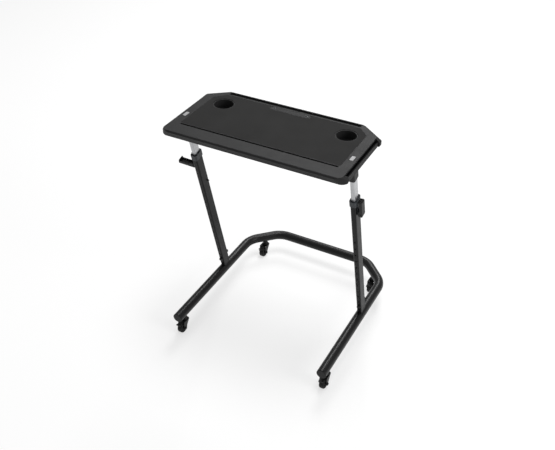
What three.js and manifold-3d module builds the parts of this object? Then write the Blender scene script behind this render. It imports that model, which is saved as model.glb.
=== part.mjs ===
// A rolling desk that stands over the front of an indoor bike trainer.
// A bent tube base on four casters carries two leaning telescopic legs and a moulded top.
// Lengths are millimetres, +Z is up, the rider sits on the -Y side and +X is on the rider's right.

import * as THREE from 'three';
import { mergeVertices } from 'three/addons/utils/BufferGeometryUtils.js';
import Module from 'manifold-3d';

const wasm = await Module();
wasm.setup();

// Clearances and small shared sizes
const SEAT_GAP = 0.3;
const RUNNING_GAP = 0.5;
const CUT_OVERRUN = 5;
const MERGE_DISTANCE = 0.0005;

// Base tube
const BASE_LENGTH = 775;
const BASE_SPAN = 695;
const TUBE_DIAMETER = 43;
const TUBE_WALL = 2.2;
const REAR_SECTION_LENGTH = 268;
const CORNER_CHAMFER = 116;
const CORNER_BEND_RADIUS = 100;
const SPIGOT_LENGTH = 45;
const END_CAP_THICKNESS = 3;
const END_CAP_PLUG_LENGTH = 18;
const TUBE_SIDES = 16;
const BORE_SIDES = 8;
const BEND_STEPS = 4;

// Casters
const CASTER_HEIGHT = 79.5;
const WHEEL_DIAMETER = 50;
const WHEEL_WIDTH = 24;
const WHEEL_SHOULDER = 5;
const WHEEL_SIDES = 16;
const HUB_RADIUS = 10;
const HUB_RECESS = 3;
const WEB_RADIUS = 16;
const AXLE_RADIUS = 4;
const AXLE_HEAD_RADIUS = 6.5;
const AXLE_HEAD_HEIGHT = 4;
const CASTER_TRAIL = 22;
const FORK_SIDE_GAP = 2.5;
const FORK_PLATE = 2.5;
const FORK_CROWN_LENGTH = 30;
const FORK_CROWN_CORNER = 8;
const FORK_CROWN_HEIGHT = 6;
const FORK_CROWN_TOP = 60;
const FORK_FOOT_RADIUS = 9;
const KINGPIN_RADIUS = 4;
const KINGPIN_HEAD_RADIUS = 7;
const KINGPIN_HEAD_HEIGHT = 3;
const BEARING_RADIUS = 15;
const BEARING_HEIGHT = 7;
const MOUNT_NECK_RADIUS = 11;
const MOUNT_SIDES = 12;
const SMALL_SIDES = 8;
const BRAKE_WIDTH = 20;
const BRAKE_LENGTH = 28;
const BRAKE_THICKNESS = 2.6;
const BRAKE_PIN_RADIUS = 2;
const BRAKE_PIN_BACK = 24;
const BRAKE_PIN_DROP = 5;
const BRAKE_LIP = 5;
const BRAKE_TAIL = 7.5;
const FRONT_CASTER_FROM_TIP = 52.5;
const REAR_CASTER_INSET = 57.5;

// Legs
const LEG_LEAN_DEGREES = 14.1;
const LEG_AHEAD_OF_SEAM = 93;
const LOWER_LEG_WIDTH = 22;
const LOWER_LEG_DEPTH = 44;
const LOWER_LEG_CORNER = 5;
const LEG_WALL = 1.5;
const LOWER_LEG_TOP = 739;
const INDEX_HOLE_RADIUS = 4;
const INDEX_HOLE_FIRST = 109;
const INDEX_HOLE_PITCH = 40;
const INDEX_HOLE_COUNT = 11;
const INDEX_AT_REST = 2;
const FOOT_CORE_RISE = 7;
const FOOT_CORE_WALL = 4;
const LEG_BOLT_HEIGHT = 76;
const LEG_BOLT_RADIUS = 4;
const LEG_BOLT_HEAD_RADIUS = 8;
const LEG_BOLT_HEAD_HEIGHT = 7;
const LEG_NUT_RADIUS = 7;
const LEG_NUT_HEIGHT = 10;

// Upper legs, glides and index buttons
const UPPER_LEG_WIDTH = 17;
const UPPER_LEG_DEPTH = 35;
const UPPER_LEG_CORNER = 5;
const UPPER_LEG_BOTTOM_BELOW_BUTTON = 15;
const VISIBLE_UPPER_LEG = 106;
const GLIDE_FLANGE = 5;
const GLIDE_BOSS = 8;
const BUTTON_RADIUS = 3.2;
const BUTTON_LEAF_WIDTH = 6;
const BUTTON_LEAF_THICKNESS = 1.2;
const BUTTON_LEAF_LENGTH = 48;
const BUTTON_BACK = 4;

// Collar and clamp lever
const COLLAR_WALL = 3;
const COLLAR_HEIGHT = 26;
const COLLAR_LIP = 4;
const COLLAR_CORNER = 8;
const COLLAR_EAR_RISE = 3;
const COLLAR_EAR_THICKNESS = 4;
const COLLAR_EAR_SPREAD = 11;
const TONGUE_THICKNESS = 2.3;
const LUG_WIDTH = 19;
const LUG_RADIUS = 5.5;
const LEVER_PIVOT_BELOW_COLLAR = 48;
const LEVER_PIVOT_OUT = 24.5;
const LEVER_PIN_RADIUS = 2.3;
const LEVER_PIN_HEAD_RADIUS = 3.8;
const LEVER_PIN_HEAD_HEIGHT = 1.2;
const LEVER_WIDTH = 26;
const LEVER_FLANGE = 2.4;
const LEVER_PLATE = 3;
const LEVER_FACE_OUT = 9;
const LEVER_CAM_RADIUS = 10.5;
const LEVER_LENGTH = 70;
const LEVER_FLANGE_DEPTH = 12;
const LEVER_HORN_DEPTH = 18.5;
const LEVER_OPEN_DEGREES = 88;

// Leg heads under the top
const HEAD_WALL = 4;
const HEAD_CORNER = 8;
const HEAD_LENGTH = 63.5;
const HEAD_SOCKET = 44;
const HEAD_FLANGE_THICKNESS = 4;
const HEAD_FLANGE_WIDTH = 52;
const HEAD_FLANGE_DEPTH = 104;
const HEAD_FLANGE_INSET = 8;
const HEAD_SCREW_FROM_END = 9;
const HEAD_SCREW_RADIUS = 2;
const HEAD_SCREW_HEAD_RADIUS = 4.5;
const HEAD_SCREW_HEAD_HEIGHT = 2.6;
const HEAD_SCREW_BITE = 12;

// Moulded top
const TOP_OVERHANG = 35.5;
const TOP_DEPTH = 399;
const TOP_THICKNESS = 32;
const TOP_AHEAD_OF_LEG = 51;
const TOP_CHAMFER_WIDTH = 89;
const TOP_CHAMFER_DEPTH = 68;
const TOP_FRONT_RADIUS = 43;
const TOP_CHAMFER_RADIUS = 12;
const TOP_EDGE_SLOPE = 17;
const TOP_EDGE_DROP = 16;
const TOP_UNDERCUT = 12;
const TOP_EDGE_ROUND = 2;
const TOP_FRONT_ROUND = 7;
const TOP_WALL = 3;
const TOP_SKIN = 3;
const GRIP_LENGTH = 272;
const GRIP_FROM_FRONT = 38;
const GRIP_LIP_WIDTH = 10;
const GRIP_LIP_THICKNESS = 5;
const GRIP_RECESS = 6;
const GRIP_EDGE_THICKNESS = 6;
const RIB_THICKNESS = 2.4;
const RIB_COLUMNS = 7;
const RIB_ROWS = 3;
const BOSS_RADIUS = 6;
const MAT_THICKNESS = 2.4;
const MAT_GAP = 1;
const MAT_SIDE_RIM = 54;
const MAT_FRONT_RIM = 78;
const MAT_REAR_RIM = 47.5;
const MAT_CHAMFER_WIDTH = 41;
const MAT_CHAMFER_DEPTH = 42;
const MAT_CORNER_RADIUS = 6;
const GROOVE_FROM_SIDE = 57.5;
const GROOVE_WIDTH = 8;
const GROOVE_DEPTH = 14;
const GROOVE_FROM_FRONT = 70;
const TROUGH_FROM_SIDE = 99;
const TROUGH_WIDTH = 18;
const TROUGH_DEPTH = 12;
const TROUGH_FROM_REAR = 31;
const BADGE_LENGTH = 30;
const BADGE_WIDTH = 14;
const BADGE_THICKNESS = 1.2;
const BADGE_SINK = 0.7;
const BADGE_FROM_SIDE = 36;
const BADGE_FROM_FRONT = 142.5;
const CUP_RADIUS = 38.5;
const CUP_BOTTOM_RADIUS = 34;
const CUP_DEPTH = 55;
const CUP_WALL = 2.2;
const CUP_LIP_WIDTH = 2;
const CUP_LIP_THICKNESS = 1.6;
const CUP_FROM_SIDE = 121;
const CUP_FROM_REAR = 118.4;
const CUP_SIDES = 20;
const INSERT_LENGTH = 172;
const INSERT_WIDTH = 24;
const INSERT_THICKNESS = 3.4;
const INSERT_FROM_REAR = 59.4;
const INSERT_HOLE_SPACING = 138;
const INSERT_HOLE_RADIUS = 3;
const INSERT_HOLE_DEPTH = 2;

// Sizes that follow from those above
const LEFT = -1;
const RIGHT = 1;
const tubeRadius = TUBE_DIAMETER / 2;
const tubeHeight = CASTER_HEIGHT + tubeRadius;
const tubeBore = tubeRadius - TUBE_WALL;
const armTipY = -BASE_LENGTH / 2;
const rearTubeY = BASE_LENGTH / 2 - tubeRadius;
const armX = BASE_SPAN / 2;
const topWidth = BASE_SPAN + 2 * TOP_OVERHANG;
const cupX = topWidth / 2 - CUP_FROM_SIDE;
const grooveLength = topWidth - 2 * GROOVE_FROM_SIDE;
const troughLength = topWidth - 2 * TROUGH_FROM_SIDE;
const armLength = BASE_LENGTH - REAR_SECTION_LENGTH;
const seamY = armTipY + armLength;
const lean = THREE.MathUtils.degToRad(LEG_LEAN_DEGREES);
const legFootY = seamY - LEG_AHEAD_OF_SEAM;
const collarTop = LOWER_LEG_TOP + SEAT_GAP + COLLAR_LIP;
const collarBottom = collarTop - COLLAR_HEIGHT;
const headBottom = collarTop + VISIBLE_UPPER_LEG;
const headTop = headBottom + HEAD_LENGTH;
const buttonHeight = INDEX_HOLE_FIRST + INDEX_AT_REST * INDEX_HOLE_PITCH;
const upperLegBottom = buttonHeight - UPPER_LEG_BOTTOM_BELOW_BUTTON;
const upperLegTop = headBottom + HEAD_SOCKET - RUNNING_GAP;
const undersideZ = tubeHeight + headTop * Math.cos(lean);
const legTopY = legFootY - headTop * Math.sin(lean);
const topCentreY = legTopY + TOP_AHEAD_OF_LEG;
const surfaceZ = undersideZ + SEAT_GAP + TOP_THICKNESS;
const wheelRadius = WHEEL_DIAMETER / 2;
const forkInside = WHEEL_WIDTH / 2 + FORK_SIDE_GAP;
const forkOutside = forkInside + FORK_PLATE;
const leverOpening = THREE.MathUtils.degToRad(LEVER_OPEN_DEGREES);
const leverPivotX = armX + LEVER_PIVOT_OUT;
const leverTipOut = (LEVER_FACE_OUT - LEVER_PLATE) * Math.cos(leverOpening);
const leverTipX = leverTipOut + LEVER_LENGTH * Math.sin(leverOpening);
const openReach = leverPivotX + leverTipX;
const closedReach = Math.max(topWidth / 2, leverPivotX + LEVER_FACE_OUT);
const centreShift = (openReach - closedReach) / 2;

const materials = {
  blackSteel: new THREE.MeshStandardMaterial({ color: 0x2b2b2d, roughness: 0.42, metalness: 0.35 }),
  silverTube: new THREE.MeshStandardMaterial({ color: 0xb4b6b8, roughness: 0.3, metalness: 0.85 }),
  blackPlastic: new THREE.MeshStandardMaterial({ color: 0x1b1b1c, roughness: 0.55, metalness: 0 }),
  topPlastic: new THREE.MeshStandardMaterial({ color: 0x343435, roughness: 0.6, metalness: 0 }),
  matRubber: new THREE.MeshStandardMaterial({ color: 0x262626, roughness: 0.85, metalness: 0 }),
  badgePlate: new THREE.MeshStandardMaterial({ color: 0xb9babb, roughness: 0.5, metalness: 0.1 }),
  wellPlastic: new THREE.MeshStandardMaterial({ color: 0x0f0f10, roughness: 0.6, metalness: 0 }),
  wheelRubber: new THREE.MeshStandardMaterial({ color: 0x0e0e0f, roughness: 0.7, metalness: 0 }),
  zinc: new THREE.MeshStandardMaterial({ color: 0x8c8e90, roughness: 0.35, metalness: 0.9 }),
};

// Turns a closed three.js geometry into a solid that can be cut and joined.
function solidOf(geometry) {
  const bare = geometry.clone();
  bare.deleteAttribute('normal');
  bare.deleteAttribute('uv');
  const merged = mergeVertices(bare, MERGE_DISTANCE);
  const mesh = new wasm.Mesh({
    numProp: 3,
    vertProperties: new Float32Array(merged.attributes.position.array),
    triVerts: new Uint32Array(merged.index.array),
  });
  return new wasm.Manifold(mesh);
}

// Turns a solid back into a geometry with flat shaded faces.
function geometryOf(solid) {
  const mesh = solid.getMesh();
  const geometry = new THREE.BufferGeometry();
  geometry.setAttribute('position', new THREE.BufferAttribute(new Float32Array(mesh.vertProperties), 3));
  geometry.setIndex(new THREE.BufferAttribute(new Uint32Array(mesh.triVerts), 1));
  geometry.computeVertexNormals();
  return geometry;
}

// Joins the added geometries to the body and then takes the removed ones away.
function shaped(body, added, removed) {
  let solid = solidOf(body);
  for (const piece of added) {
    solid = solid.add(solidOf(piece));
  }
  for (const piece of removed) {
    solid = solid.subtract(solidOf(piece));
  }
  return geometryOf(solid);
}

function named(name, geometry, material) {
  const mesh = new THREE.Mesh(geometry, material);
  mesh.name = name;
  return mesh;
}

// A rectangle with round corners about the origin.
function roundRect(width, height, radius) {
  const x = width / 2 - radius;
  const y = height / 2 - radius;
  const shape = new THREE.Shape();
  shape.absarc(x, y, radius, 0, Math.PI / 2);
  shape.absarc(-x, y, radius, Math.PI / 2, Math.PI);
  shape.absarc(-x, -y, radius, Math.PI, 1.5 * Math.PI);
  shape.absarc(x, -y, radius, 1.5 * Math.PI, 2 * Math.PI);
  return shape;
}

function prism(shape, bottom, top, curveSegments = 3) {
  const options = { depth: top - bottom, bevelEnabled: false, curveSegments };
  const geometry = new THREE.ExtrudeGeometry(shape, options);
  return geometry.translate(0, 0, bottom);
}

function box(x0, x1, y0, y1, z0, z1) {
  const geometry = new THREE.BoxGeometry(x1 - x0, y1 - y0, z1 - z0);
  return geometry.translate((x0 + x1) / 2, (y0 + y1) / 2, (z0 + z1) / 2);
}

// A cylinder between two heights on the Z axis.
function postZ(radius, bottom, top, sides) {
  const geometry = new THREE.CylinderGeometry(radius, radius, top - bottom, sides);
  return geometry.rotateX(Math.PI / 2).translate(0, 0, (bottom + top) / 2);
}

// A cylinder between two places on the Y axis.
function rodY(radius, start, end, sides) {
  const geometry = new THREE.CylinderGeometry(radius, radius, end - start, sides);
  return geometry.translate(0, (start + end) / 2, 0);
}

// A cylinder centred on the X axis.
function rodX(radius, length, sides) {
  return new THREE.CylinderGeometry(radius, radius, length, sides).rotateZ(Math.PI / 2);
}

// Revolves a closed profile of [radius, height] pairs about the Z axis.
function turnedZ(profile, sides) {
  const points = profile.map(([radius, height]) => new THREE.Vector2(radius, height));
  return new THREE.LatheGeometry(points, sides).rotateX(Math.PI / 2);
}

// Moves each straight edge of a counterclockwise outline inwards by its own distance.
function insetCorners(corners, insets) {
  const count = corners.length;
  const edges = corners.map((corner, i) => {
    const along = corners[(i + 1) % count].clone().sub(corner).normalize();
    const inward = new THREE.Vector2(-along.y, along.x);
    return { start: corner.clone().addScaledVector(inward, insets[i]), along };
  });
  return edges.map((edge, i) => {
    const before = edges[(i + count - 1) % count];
    const gap = edge.start.clone().sub(before.start);
    const reach = gap.cross(edge.along) / before.along.cross(edge.along);
    return before.start.clone().addScaledVector(before.along, reach);
  });
}

// Rounds the corners of a counterclockwise outline, with the same number of points at each corner.
function roundedPoints(corners, radii, steps) {
  const count = corners.length;
  return corners.flatMap((corner, i) => {
    const back = corners[(i + count - 1) % count].clone().sub(corner).normalize();
    const on = corners[(i + 1) % count].clone().sub(corner).normalize();
    const halfAngle = Math.acos(back.dot(on)) / 2;
    const middle = back.clone().add(on).normalize();
    const centre = corner.clone().addScaledVector(middle, radii[i] / Math.sin(halfAngle));
    const start = corner.clone().addScaledVector(back, radii[i] / Math.tan(halfAngle)).sub(centre);
    const sweep = Math.PI - 2 * halfAngle;
    return Array.from({ length: steps + 1 }, (_, k) => {
      const angle = start.angle() + (sweep * k) / steps;
      return new THREE.Vector2(Math.cos(angle), Math.sin(angle)).multiplyScalar(radii[i]).add(centre);
    });
  });
}

// Joins level outlines of equal point counts, from the lowest to the highest, into a closed body.
function loft(outlines, heights) {
  const count = outlines[0].length;
  const raised = (outline, i) => outline.flatMap((point) => [point.x, point.y, heights[i]]);
  const positions = outlines.flatMap(raised);
  const index = [];
  for (let i = 0; i + 1 < outlines.length; i += 1) {
    for (let j = 0; j < count; j += 1) {
      const next = (j + 1) % count;
      const low = i * count;
      const high = low + count;
      index.push(low + j, low + next, high + next, low + j, high + next, high + j);
    }
  }
  const last = (outlines.length - 1) * count;
  for (const [a, b, c] of THREE.ShapeUtils.triangulateShape(outlines[0], [])) {
    index.push(c, b, a);
  }
  for (const [a, b, c] of THREE.ShapeUtils.triangulateShape(outlines[outlines.length - 1], [])) {
    index.push(last + a, last + b, last + c);
  }
  const geometry = new THREE.BufferGeometry();
  geometry.setAttribute('position', new THREE.Float32BufferAttribute(positions, 3));
  geometry.setIndex(index);
  return geometry;
}

// Base

// The centre line of the rear tube, given by stations with their directions, so that
// the straight runs stay in one piece and only the bends are divided.
class StationPath extends THREE.Curve {
  constructor(stations) {
    super();
    this.stations = stations;
  }

  stationAt(t) {
    return this.stations[Math.round(t * (this.stations.length - 1))];
  }

  getPoint(t, target = new THREE.Vector3()) {
    return target.copy(this.stationAt(t).point);
  }

  getPointAt(t, target) {
    return this.getPoint(t, target);
  }

  getTangent(t, target = new THREE.Vector3()) {
    return target.copy(this.stationAt(t).direction);
  }

  getTangentAt(t, target) {
    return this.getTangent(t, target);
  }
}

function straightStation(point, next) {
  return { point: point.clone(), direction: next.clone().sub(point).normalize() };
}

// Stations along a round bend at a corner of the centre line.
function bendStations(before, corner, after, radius) {
  const into = corner.clone().sub(before).normalize();
  const out = after.clone().sub(corner).normalize();
  const turn = into.angleTo(out);
  const reach = radius * Math.tan(turn / 2);
  const start = corner.clone().addScaledVector(into, -reach);
  const side = out.clone().addScaledVector(into, -Math.cos(turn)).normalize();
  const centre = start.clone().addScaledVector(side, radius);
  return Array.from({ length: BEND_STEPS + 1 }, (_, k) => {
    const angle = (turn * k) / BEND_STEPS;
    const point = centre.clone().addScaledVector(into, radius * Math.sin(angle));
    point.addScaledVector(side, -radius * Math.cos(angle));
    const direction = into.clone().multiplyScalar(Math.cos(angle)).addScaledVector(side, Math.sin(angle));
    return { point, direction };
  });
}

// Both side runs, two bends at each corner and the cross run.
function rearTubePath() {
  const corners = [
    [armX, seamY],
    [armX, rearTubeY - CORNER_CHAMFER],
    [armX - CORNER_CHAMFER, rearTubeY],
    [CORNER_CHAMFER - armX, rearTubeY],
    [-armX, rearTubeY - CORNER_CHAMFER],
    [-armX, seamY],
  ].map(([x, y]) => new THREE.Vector3(x, y, 0));
  const last = corners.length - 1;
  const stations = [straightStation(corners[0], corners[1])];
  for (let i = 1; i < last; i += 1) {
    stations.push(...bendStations(corners[i - 1], corners[i], corners[i + 1], CORNER_BEND_RADIUS));
  }
  stations.push({ point: corners[last], direction: stations[stations.length - 1].direction });
  return new StationPath(stations);
}

function circlePoints(radius, sides) {
  return Array.from({ length: sides }, (_, k) => {
    const angle = (2 * Math.PI * k) / sides;
    return new THREE.Vector2(radius * Math.cos(angle), radius * Math.sin(angle));
  });
}

function rearTube() {
  const section = new THREE.Shape(circlePoints(tubeRadius, TUBE_SIDES));
  section.holes.push(new THREE.Path(circlePoints(tubeBore, BORE_SIDES)));
  const path = rearTubePath();
  const tube = new THREE.ExtrudeGeometry(section, { steps: path.stations.length - 1, extrudePath: path });
  const socket = rodY(tubeBore, seamY - CUT_OVERRUN, seamY + SPIGOT_LENGTH + SEAT_GAP, TUBE_SIDES);
  return shaped(tube, [], [socket.clone().translate(armX, 0, 0), socket.clone().translate(-armX, 0, 0)]);
}

function baseArm() {
  const start = armTipY + END_CAP_THICKNESS + SEAT_GAP;
  const spigot = tubeBore - SEAT_GAP;
  const spigotBore = spigot - TUBE_WALL;
  const profile = [
    [tubeBore, start],
    [tubeRadius, start],
    [tubeRadius, seamY - SEAT_GAP],
    [spigot, seamY - SEAT_GAP],
    [spigot, seamY + SPIGOT_LENGTH],
    [spigotBore, seamY + SPIGOT_LENGTH],
    [spigotBore, seamY - SPIGOT_LENGTH],
    [tubeBore, seamY - SPIGOT_LENGTH],
    [tubeBore, start],
  ].map(([radius, y]) => new THREE.Vector2(radius, y));
  return geometryOf(solidOf(new THREE.LatheGeometry(profile, TUBE_SIDES)));
}

function armEndCap() {
  const face = END_CAP_THICKNESS;
  const edge = face / 3;
  const profile = [
    [0, armTipY],
    [tubeRadius - edge, armTipY],
    [tubeRadius, armTipY + edge],
    [tubeRadius, armTipY + face],
    [tubeBore - SEAT_GAP, armTipY + face],
    [tubeBore - SEAT_GAP, armTipY + face + END_CAP_PLUG_LENGTH],
    [0, armTipY + face + END_CAP_PLUG_LENGTH],
  ].map(([radius, y]) => new THREE.Vector2(radius, y));
  return geometryOf(solidOf(new THREE.LatheGeometry(profile, TUBE_SIDES)));
}

function makeBase() {
  const base = new THREE.Group();
  base.position.z = tubeHeight;
  base.add(named('rear_base_tube', rearTube(), materials.blackSteel));
  for (const [side, sideName] of [[LEFT, 'left'], [RIGHT, 'right']]) {
    const arm = new THREE.Group();
    arm.position.x = side * armX;
    arm.add(named(`${sideName}_base_arm`, baseArm(), materials.blackSteel));
    arm.add(named(`${sideName}_arm_end_cap`, armEndCap(), materials.blackPlastic));
    base.add(arm);
  }
  return base;
}

// Casters, with the swivel axis on Z and the floor at zero height

function casterWheel() {
  const half = WHEEL_WIDTH / 2;
  const bore = AXLE_RADIUS + RUNNING_GAP;
  const web = half - HUB_RECESS;
  const profile = [
    [bore, -half],
    [HUB_RADIUS, -half],
    [HUB_RADIUS, -web],
    [WEB_RADIUS, -web],
    [WEB_RADIUS + HUB_RECESS, -half],
    [wheelRadius - WHEEL_SHOULDER / 2, -half],
    [wheelRadius, WHEEL_SHOULDER - half],
    [wheelRadius, half - WHEEL_SHOULDER],
    [wheelRadius - WHEEL_SHOULDER / 2, half],
    [WEB_RADIUS + HUB_RECESS, half],
    [WEB_RADIUS, web],
    [HUB_RADIUS, web],
    [HUB_RADIUS, half],
    [bore, half],
    [bore, -half],
  ];
  return geometryOf(solidOf(turnedZ(profile, WHEEL_SIDES).rotateY(Math.PI / 2)));
}

function casterAxle() {
  const end = forkOutside + SEAT_GAP;
  const shank = rodX(AXLE_RADIUS, 2 * end + AXLE_HEAD_HEIGHT, SMALL_SIDES);
  const head = rodX(AXLE_HEAD_RADIUS, AXLE_HEAD_HEIGHT, 6);
  const offset = end + AXLE_HEAD_HEIGHT / 2;
  return shaped(shank, [head.clone().translate(offset, 0, 0), head.clone().translate(-offset, 0, 0)], []);
}

function casterFork() {
  const bottom = FORK_CROWN_TOP - FORK_CROWN_HEIGHT;
  const rear = FORK_CROWN_LENGTH / 2 - FORK_CROWN_CORNER;
  const crownShape = roundRect(2 * forkOutside, FORK_CROWN_LENGTH, FORK_CROWN_CORNER);
  const crown = prism(crownShape, bottom, FORK_CROWN_TOP, 3);
  const front = -BRAKE_PIN_BACK - 2 * BRAKE_PIN_RADIUS;
  const side = new THREE.Shape();
  side.moveTo(rear, FORK_CROWN_TOP);
  side.lineTo(front, FORK_CROWN_TOP);
  side.lineTo(front, bottom - BRAKE_PIN_RADIUS);
  side.lineTo(-CASTER_TRAIL - FORK_FOOT_RADIUS, wheelRadius);
  side.absarc(-CASTER_TRAIL, wheelRadius, FORK_FOOT_RADIUS, Math.PI, 2 * Math.PI);
  side.lineTo(rear, bottom);
  const plate = new THREE.ExtrudeGeometry(side, { depth: FORK_PLATE, bevelEnabled: false, curveSegments: 4 });
  plate.rotateY(Math.PI / 2).rotateX(Math.PI / 2);
  const left = plate.clone().translate(-forkOutside, 0, 0);
  const right = plate.clone().translate(forkInside, 0, 0);
  const axleHole = rodX(AXLE_RADIUS + SEAT_GAP, 2 * forkOutside + CUT_OVERRUN, SMALL_SIDES);
  axleHole.translate(0, -CASTER_TRAIL, wheelRadius);
  const brakeHole = rodX(BRAKE_PIN_RADIUS + SEAT_GAP, 2 * forkOutside + CUT_OVERRUN, SMALL_SIDES);
  brakeHole.translate(0, -BRAKE_PIN_BACK, FORK_CROWN_TOP - BRAKE_PIN_DROP);
  const above = FORK_CROWN_TOP + CUT_OVERRUN;
  const kingpinHole = postZ(KINGPIN_RADIUS + SEAT_GAP, bottom - CUT_OVERRUN, above, MOUNT_SIDES);
  return shaped(crown, [left, right], [axleHole, brakeHole, kingpinHole]);
}

// The fixed bearing under the tube, with the kingpin that carries the fork.
function casterMount() {
  const bearingBottom = FORK_CROWN_TOP + SEAT_GAP;
  const bearingTop = bearingBottom + BEARING_HEIGHT;
  const crownBottom = FORK_CROWN_TOP - FORK_CROWN_HEIGHT;
  const headTopHeight = crownBottom - SEAT_GAP;
  const profile = [
    [0, headTopHeight - KINGPIN_HEAD_HEIGHT],
    [KINGPIN_HEAD_RADIUS, headTopHeight - KINGPIN_HEAD_HEIGHT],
    [KINGPIN_HEAD_RADIUS, headTopHeight],
    [KINGPIN_RADIUS, headTopHeight],
    [KINGPIN_RADIUS, bearingBottom],
    [BEARING_RADIUS - SEAT_GAP, bearingBottom],
    [BEARING_RADIUS, bearingTop - BEARING_HEIGHT / 2],
    [BEARING_RADIUS - BEARING_HEIGHT / 2, bearingTop],
    [MOUNT_NECK_RADIUS, bearingTop],
    [MOUNT_NECK_RADIUS, tubeHeight],
    [0, tubeHeight],
  ];
  return turnedZ(profile, MOUNT_SIDES);
}

function casterBrake() {
  const half = BRAKE_WIDTH / 2;
  const top = BRAKE_THICKNESS / 2;
  const pedal = box(-half, half, -BRAKE_LENGTH, BRAKE_TAIL, -top, top);
  const lip = box(-half, half, -BRAKE_LENGTH, BRAKE_THICKNESS - BRAKE_LENGTH, -top, BRAKE_LIP);
  const pin = rodX(BRAKE_PIN_RADIUS, 2 * forkOutside, SMALL_SIDES);
  return shaped(pedal, [lip, pin], []);
}

function makeCaster(name, x, y, alongTube) {
  const caster = new THREE.Group();
  caster.position.set(x, y, 0);
  const tubeCut = rodY(tubeRadius + SEAT_GAP, -TUBE_DIAMETER, TUBE_DIAMETER, TUBE_SIDES);
  tubeCut.rotateZ(alongTube).translate(0, 0, tubeHeight);
  const mount = shaped(casterMount(), [], [tubeCut]);
  caster.add(named(`${name}_caster_mount`, mount, materials.blackSteel));
  caster.add(named(`${name}_caster_fork`, casterFork(), materials.blackSteel));
  const axlePlace = new THREE.Vector3(0, -CASTER_TRAIL, wheelRadius);
  const wheel = named(`${name}_caster_wheel`, casterWheel(), materials.wheelRubber);
  wheel.position.copy(axlePlace);
  const axle = named(`${name}_caster_axle`, casterAxle(), materials.zinc);
  axle.position.copy(axlePlace);
  const brake = named(`${name}_caster_brake`, casterBrake(), materials.blackPlastic);
  brake.position.set(0, -BRAKE_PIN_BACK, FORK_CROWN_TOP - BRAKE_PIN_DROP);
  caster.add(wheel, axle, brake);
  return caster;
}

function makeCasters() {
  const casters = new THREE.Group();
  const frontY = armTipY + FRONT_CASTER_FROM_TIP;
  const rearX = armX - REAR_CASTER_INSET;
  const rearY = rearTubeY - CORNER_CHAMFER + REAR_CASTER_INSET;
  casters.add(makeCaster('front_left', -armX, frontY, 0));
  casters.add(makeCaster('front_right', armX, frontY, 0));
  casters.add(makeCaster('rear_left', -rearX, rearY, -Math.PI / 4));
  casters.add(makeCaster('rear_right', rearX, rearY, Math.PI / 4));
  return casters;
}

// Legs. A leg's own frame has its Z axis up the tube, from the centre of the base arm,
// and its -Y face towards the rider.

// The base arm as the leaning leg sees it.
function armInLegFrame(radius) {
  return rodY(radius, -armLength, armLength, TUBE_SIDES).rotateX(-lean);
}

function indexHoles(radius) {
  return Array.from({ length: INDEX_HOLE_COUNT }, (_, k) => {
    const hole = rodY(radius, -LOWER_LEG_DEPTH, 0, 8);
    return hole.translate(0, 0, INDEX_HOLE_FIRST + k * INDEX_HOLE_PITCH);
  });
}

function boltHole(reach) {
  return rodY(LEG_BOLT_RADIUS + SEAT_GAP, -reach, reach, 10).translate(0, 0, LEG_BOLT_HEIGHT);
}

function lowerLeg() {
  const section = roundRect(LOWER_LEG_WIDTH, LOWER_LEG_DEPTH, LOWER_LEG_CORNER);
  const boreWidth = LOWER_LEG_WIDTH - 2 * LEG_WALL;
  const boreDepth = LOWER_LEG_DEPTH - 2 * LEG_WALL;
  section.holes.push(roundRect(boreWidth, boreDepth, LOWER_LEG_CORNER - LEG_WALL));
  const footCut = armInLegFrame(tubeRadius + SEAT_GAP);
  const cuts = [footCut, boltHole(LOWER_LEG_DEPTH), ...indexHoles(INDEX_HOLE_RADIUS)];
  return shaped(prism(section, tubeRadius, LOWER_LEG_TOP), [], cuts);
}

// The core that stands on the base arm inside the foot of the leg and takes the bolt.
function footCore() {
  const width = LOWER_LEG_WIDTH - 2 * (LEG_WALL + SEAT_GAP);
  const depth = LOWER_LEG_DEPTH - 2 * (LEG_WALL + SEAT_GAP);
  const section = roundRect(width, depth, LOWER_LEG_CORNER - LEG_WALL);
  section.holes.push(roundRect(width - 2 * FOOT_CORE_WALL, depth - 2 * FOOT_CORE_WALL, FOOT_CORE_WALL));
  const core = prism(section, 0, LEG_BOLT_HEIGHT + FOOT_CORE_RISE);
  return shaped(core, [], [armInLegFrame(tubeRadius + SEAT_GAP), boltHole(LOWER_LEG_DEPTH)]);
}

function legBolt() {
  const seat = LOWER_LEG_DEPTH / 2 + SEAT_GAP;
  const rearEnd = seat + LEG_NUT_HEIGHT;
  const shank = rodY(LEG_BOLT_RADIUS, -seat - LEG_BOLT_HEAD_HEIGHT / 2, rearEnd + LEG_NUT_HEIGHT / 3, 10);
  const head = rodY(LEG_BOLT_HEAD_RADIUS, -seat - LEG_BOLT_HEAD_HEIGHT, -seat, 12);
  const nut = rodY(LEG_NUT_RADIUS, seat, rearEnd, 6);
  return shaped(shank, [head, nut], []);
}

function upperLeg() {
  const section = roundRect(UPPER_LEG_WIDTH, UPPER_LEG_DEPTH, UPPER_LEG_CORNER);
  const boreWidth = UPPER_LEG_WIDTH - 2 * LEG_WALL;
  const boreDepth = UPPER_LEG_DEPTH - 2 * LEG_WALL;
  section.holes.push(roundRect(boreWidth, boreDepth, UPPER_LEG_CORNER - LEG_WALL / 2));
  const buttonHole = rodY(BUTTON_RADIUS + SEAT_GAP, -LOWER_LEG_DEPTH, 0, 12).translate(0, 0, buttonHeight);
  return shaped(prism(section, upperLegBottom, upperLegTop), [], [buttonHole]);
}

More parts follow.
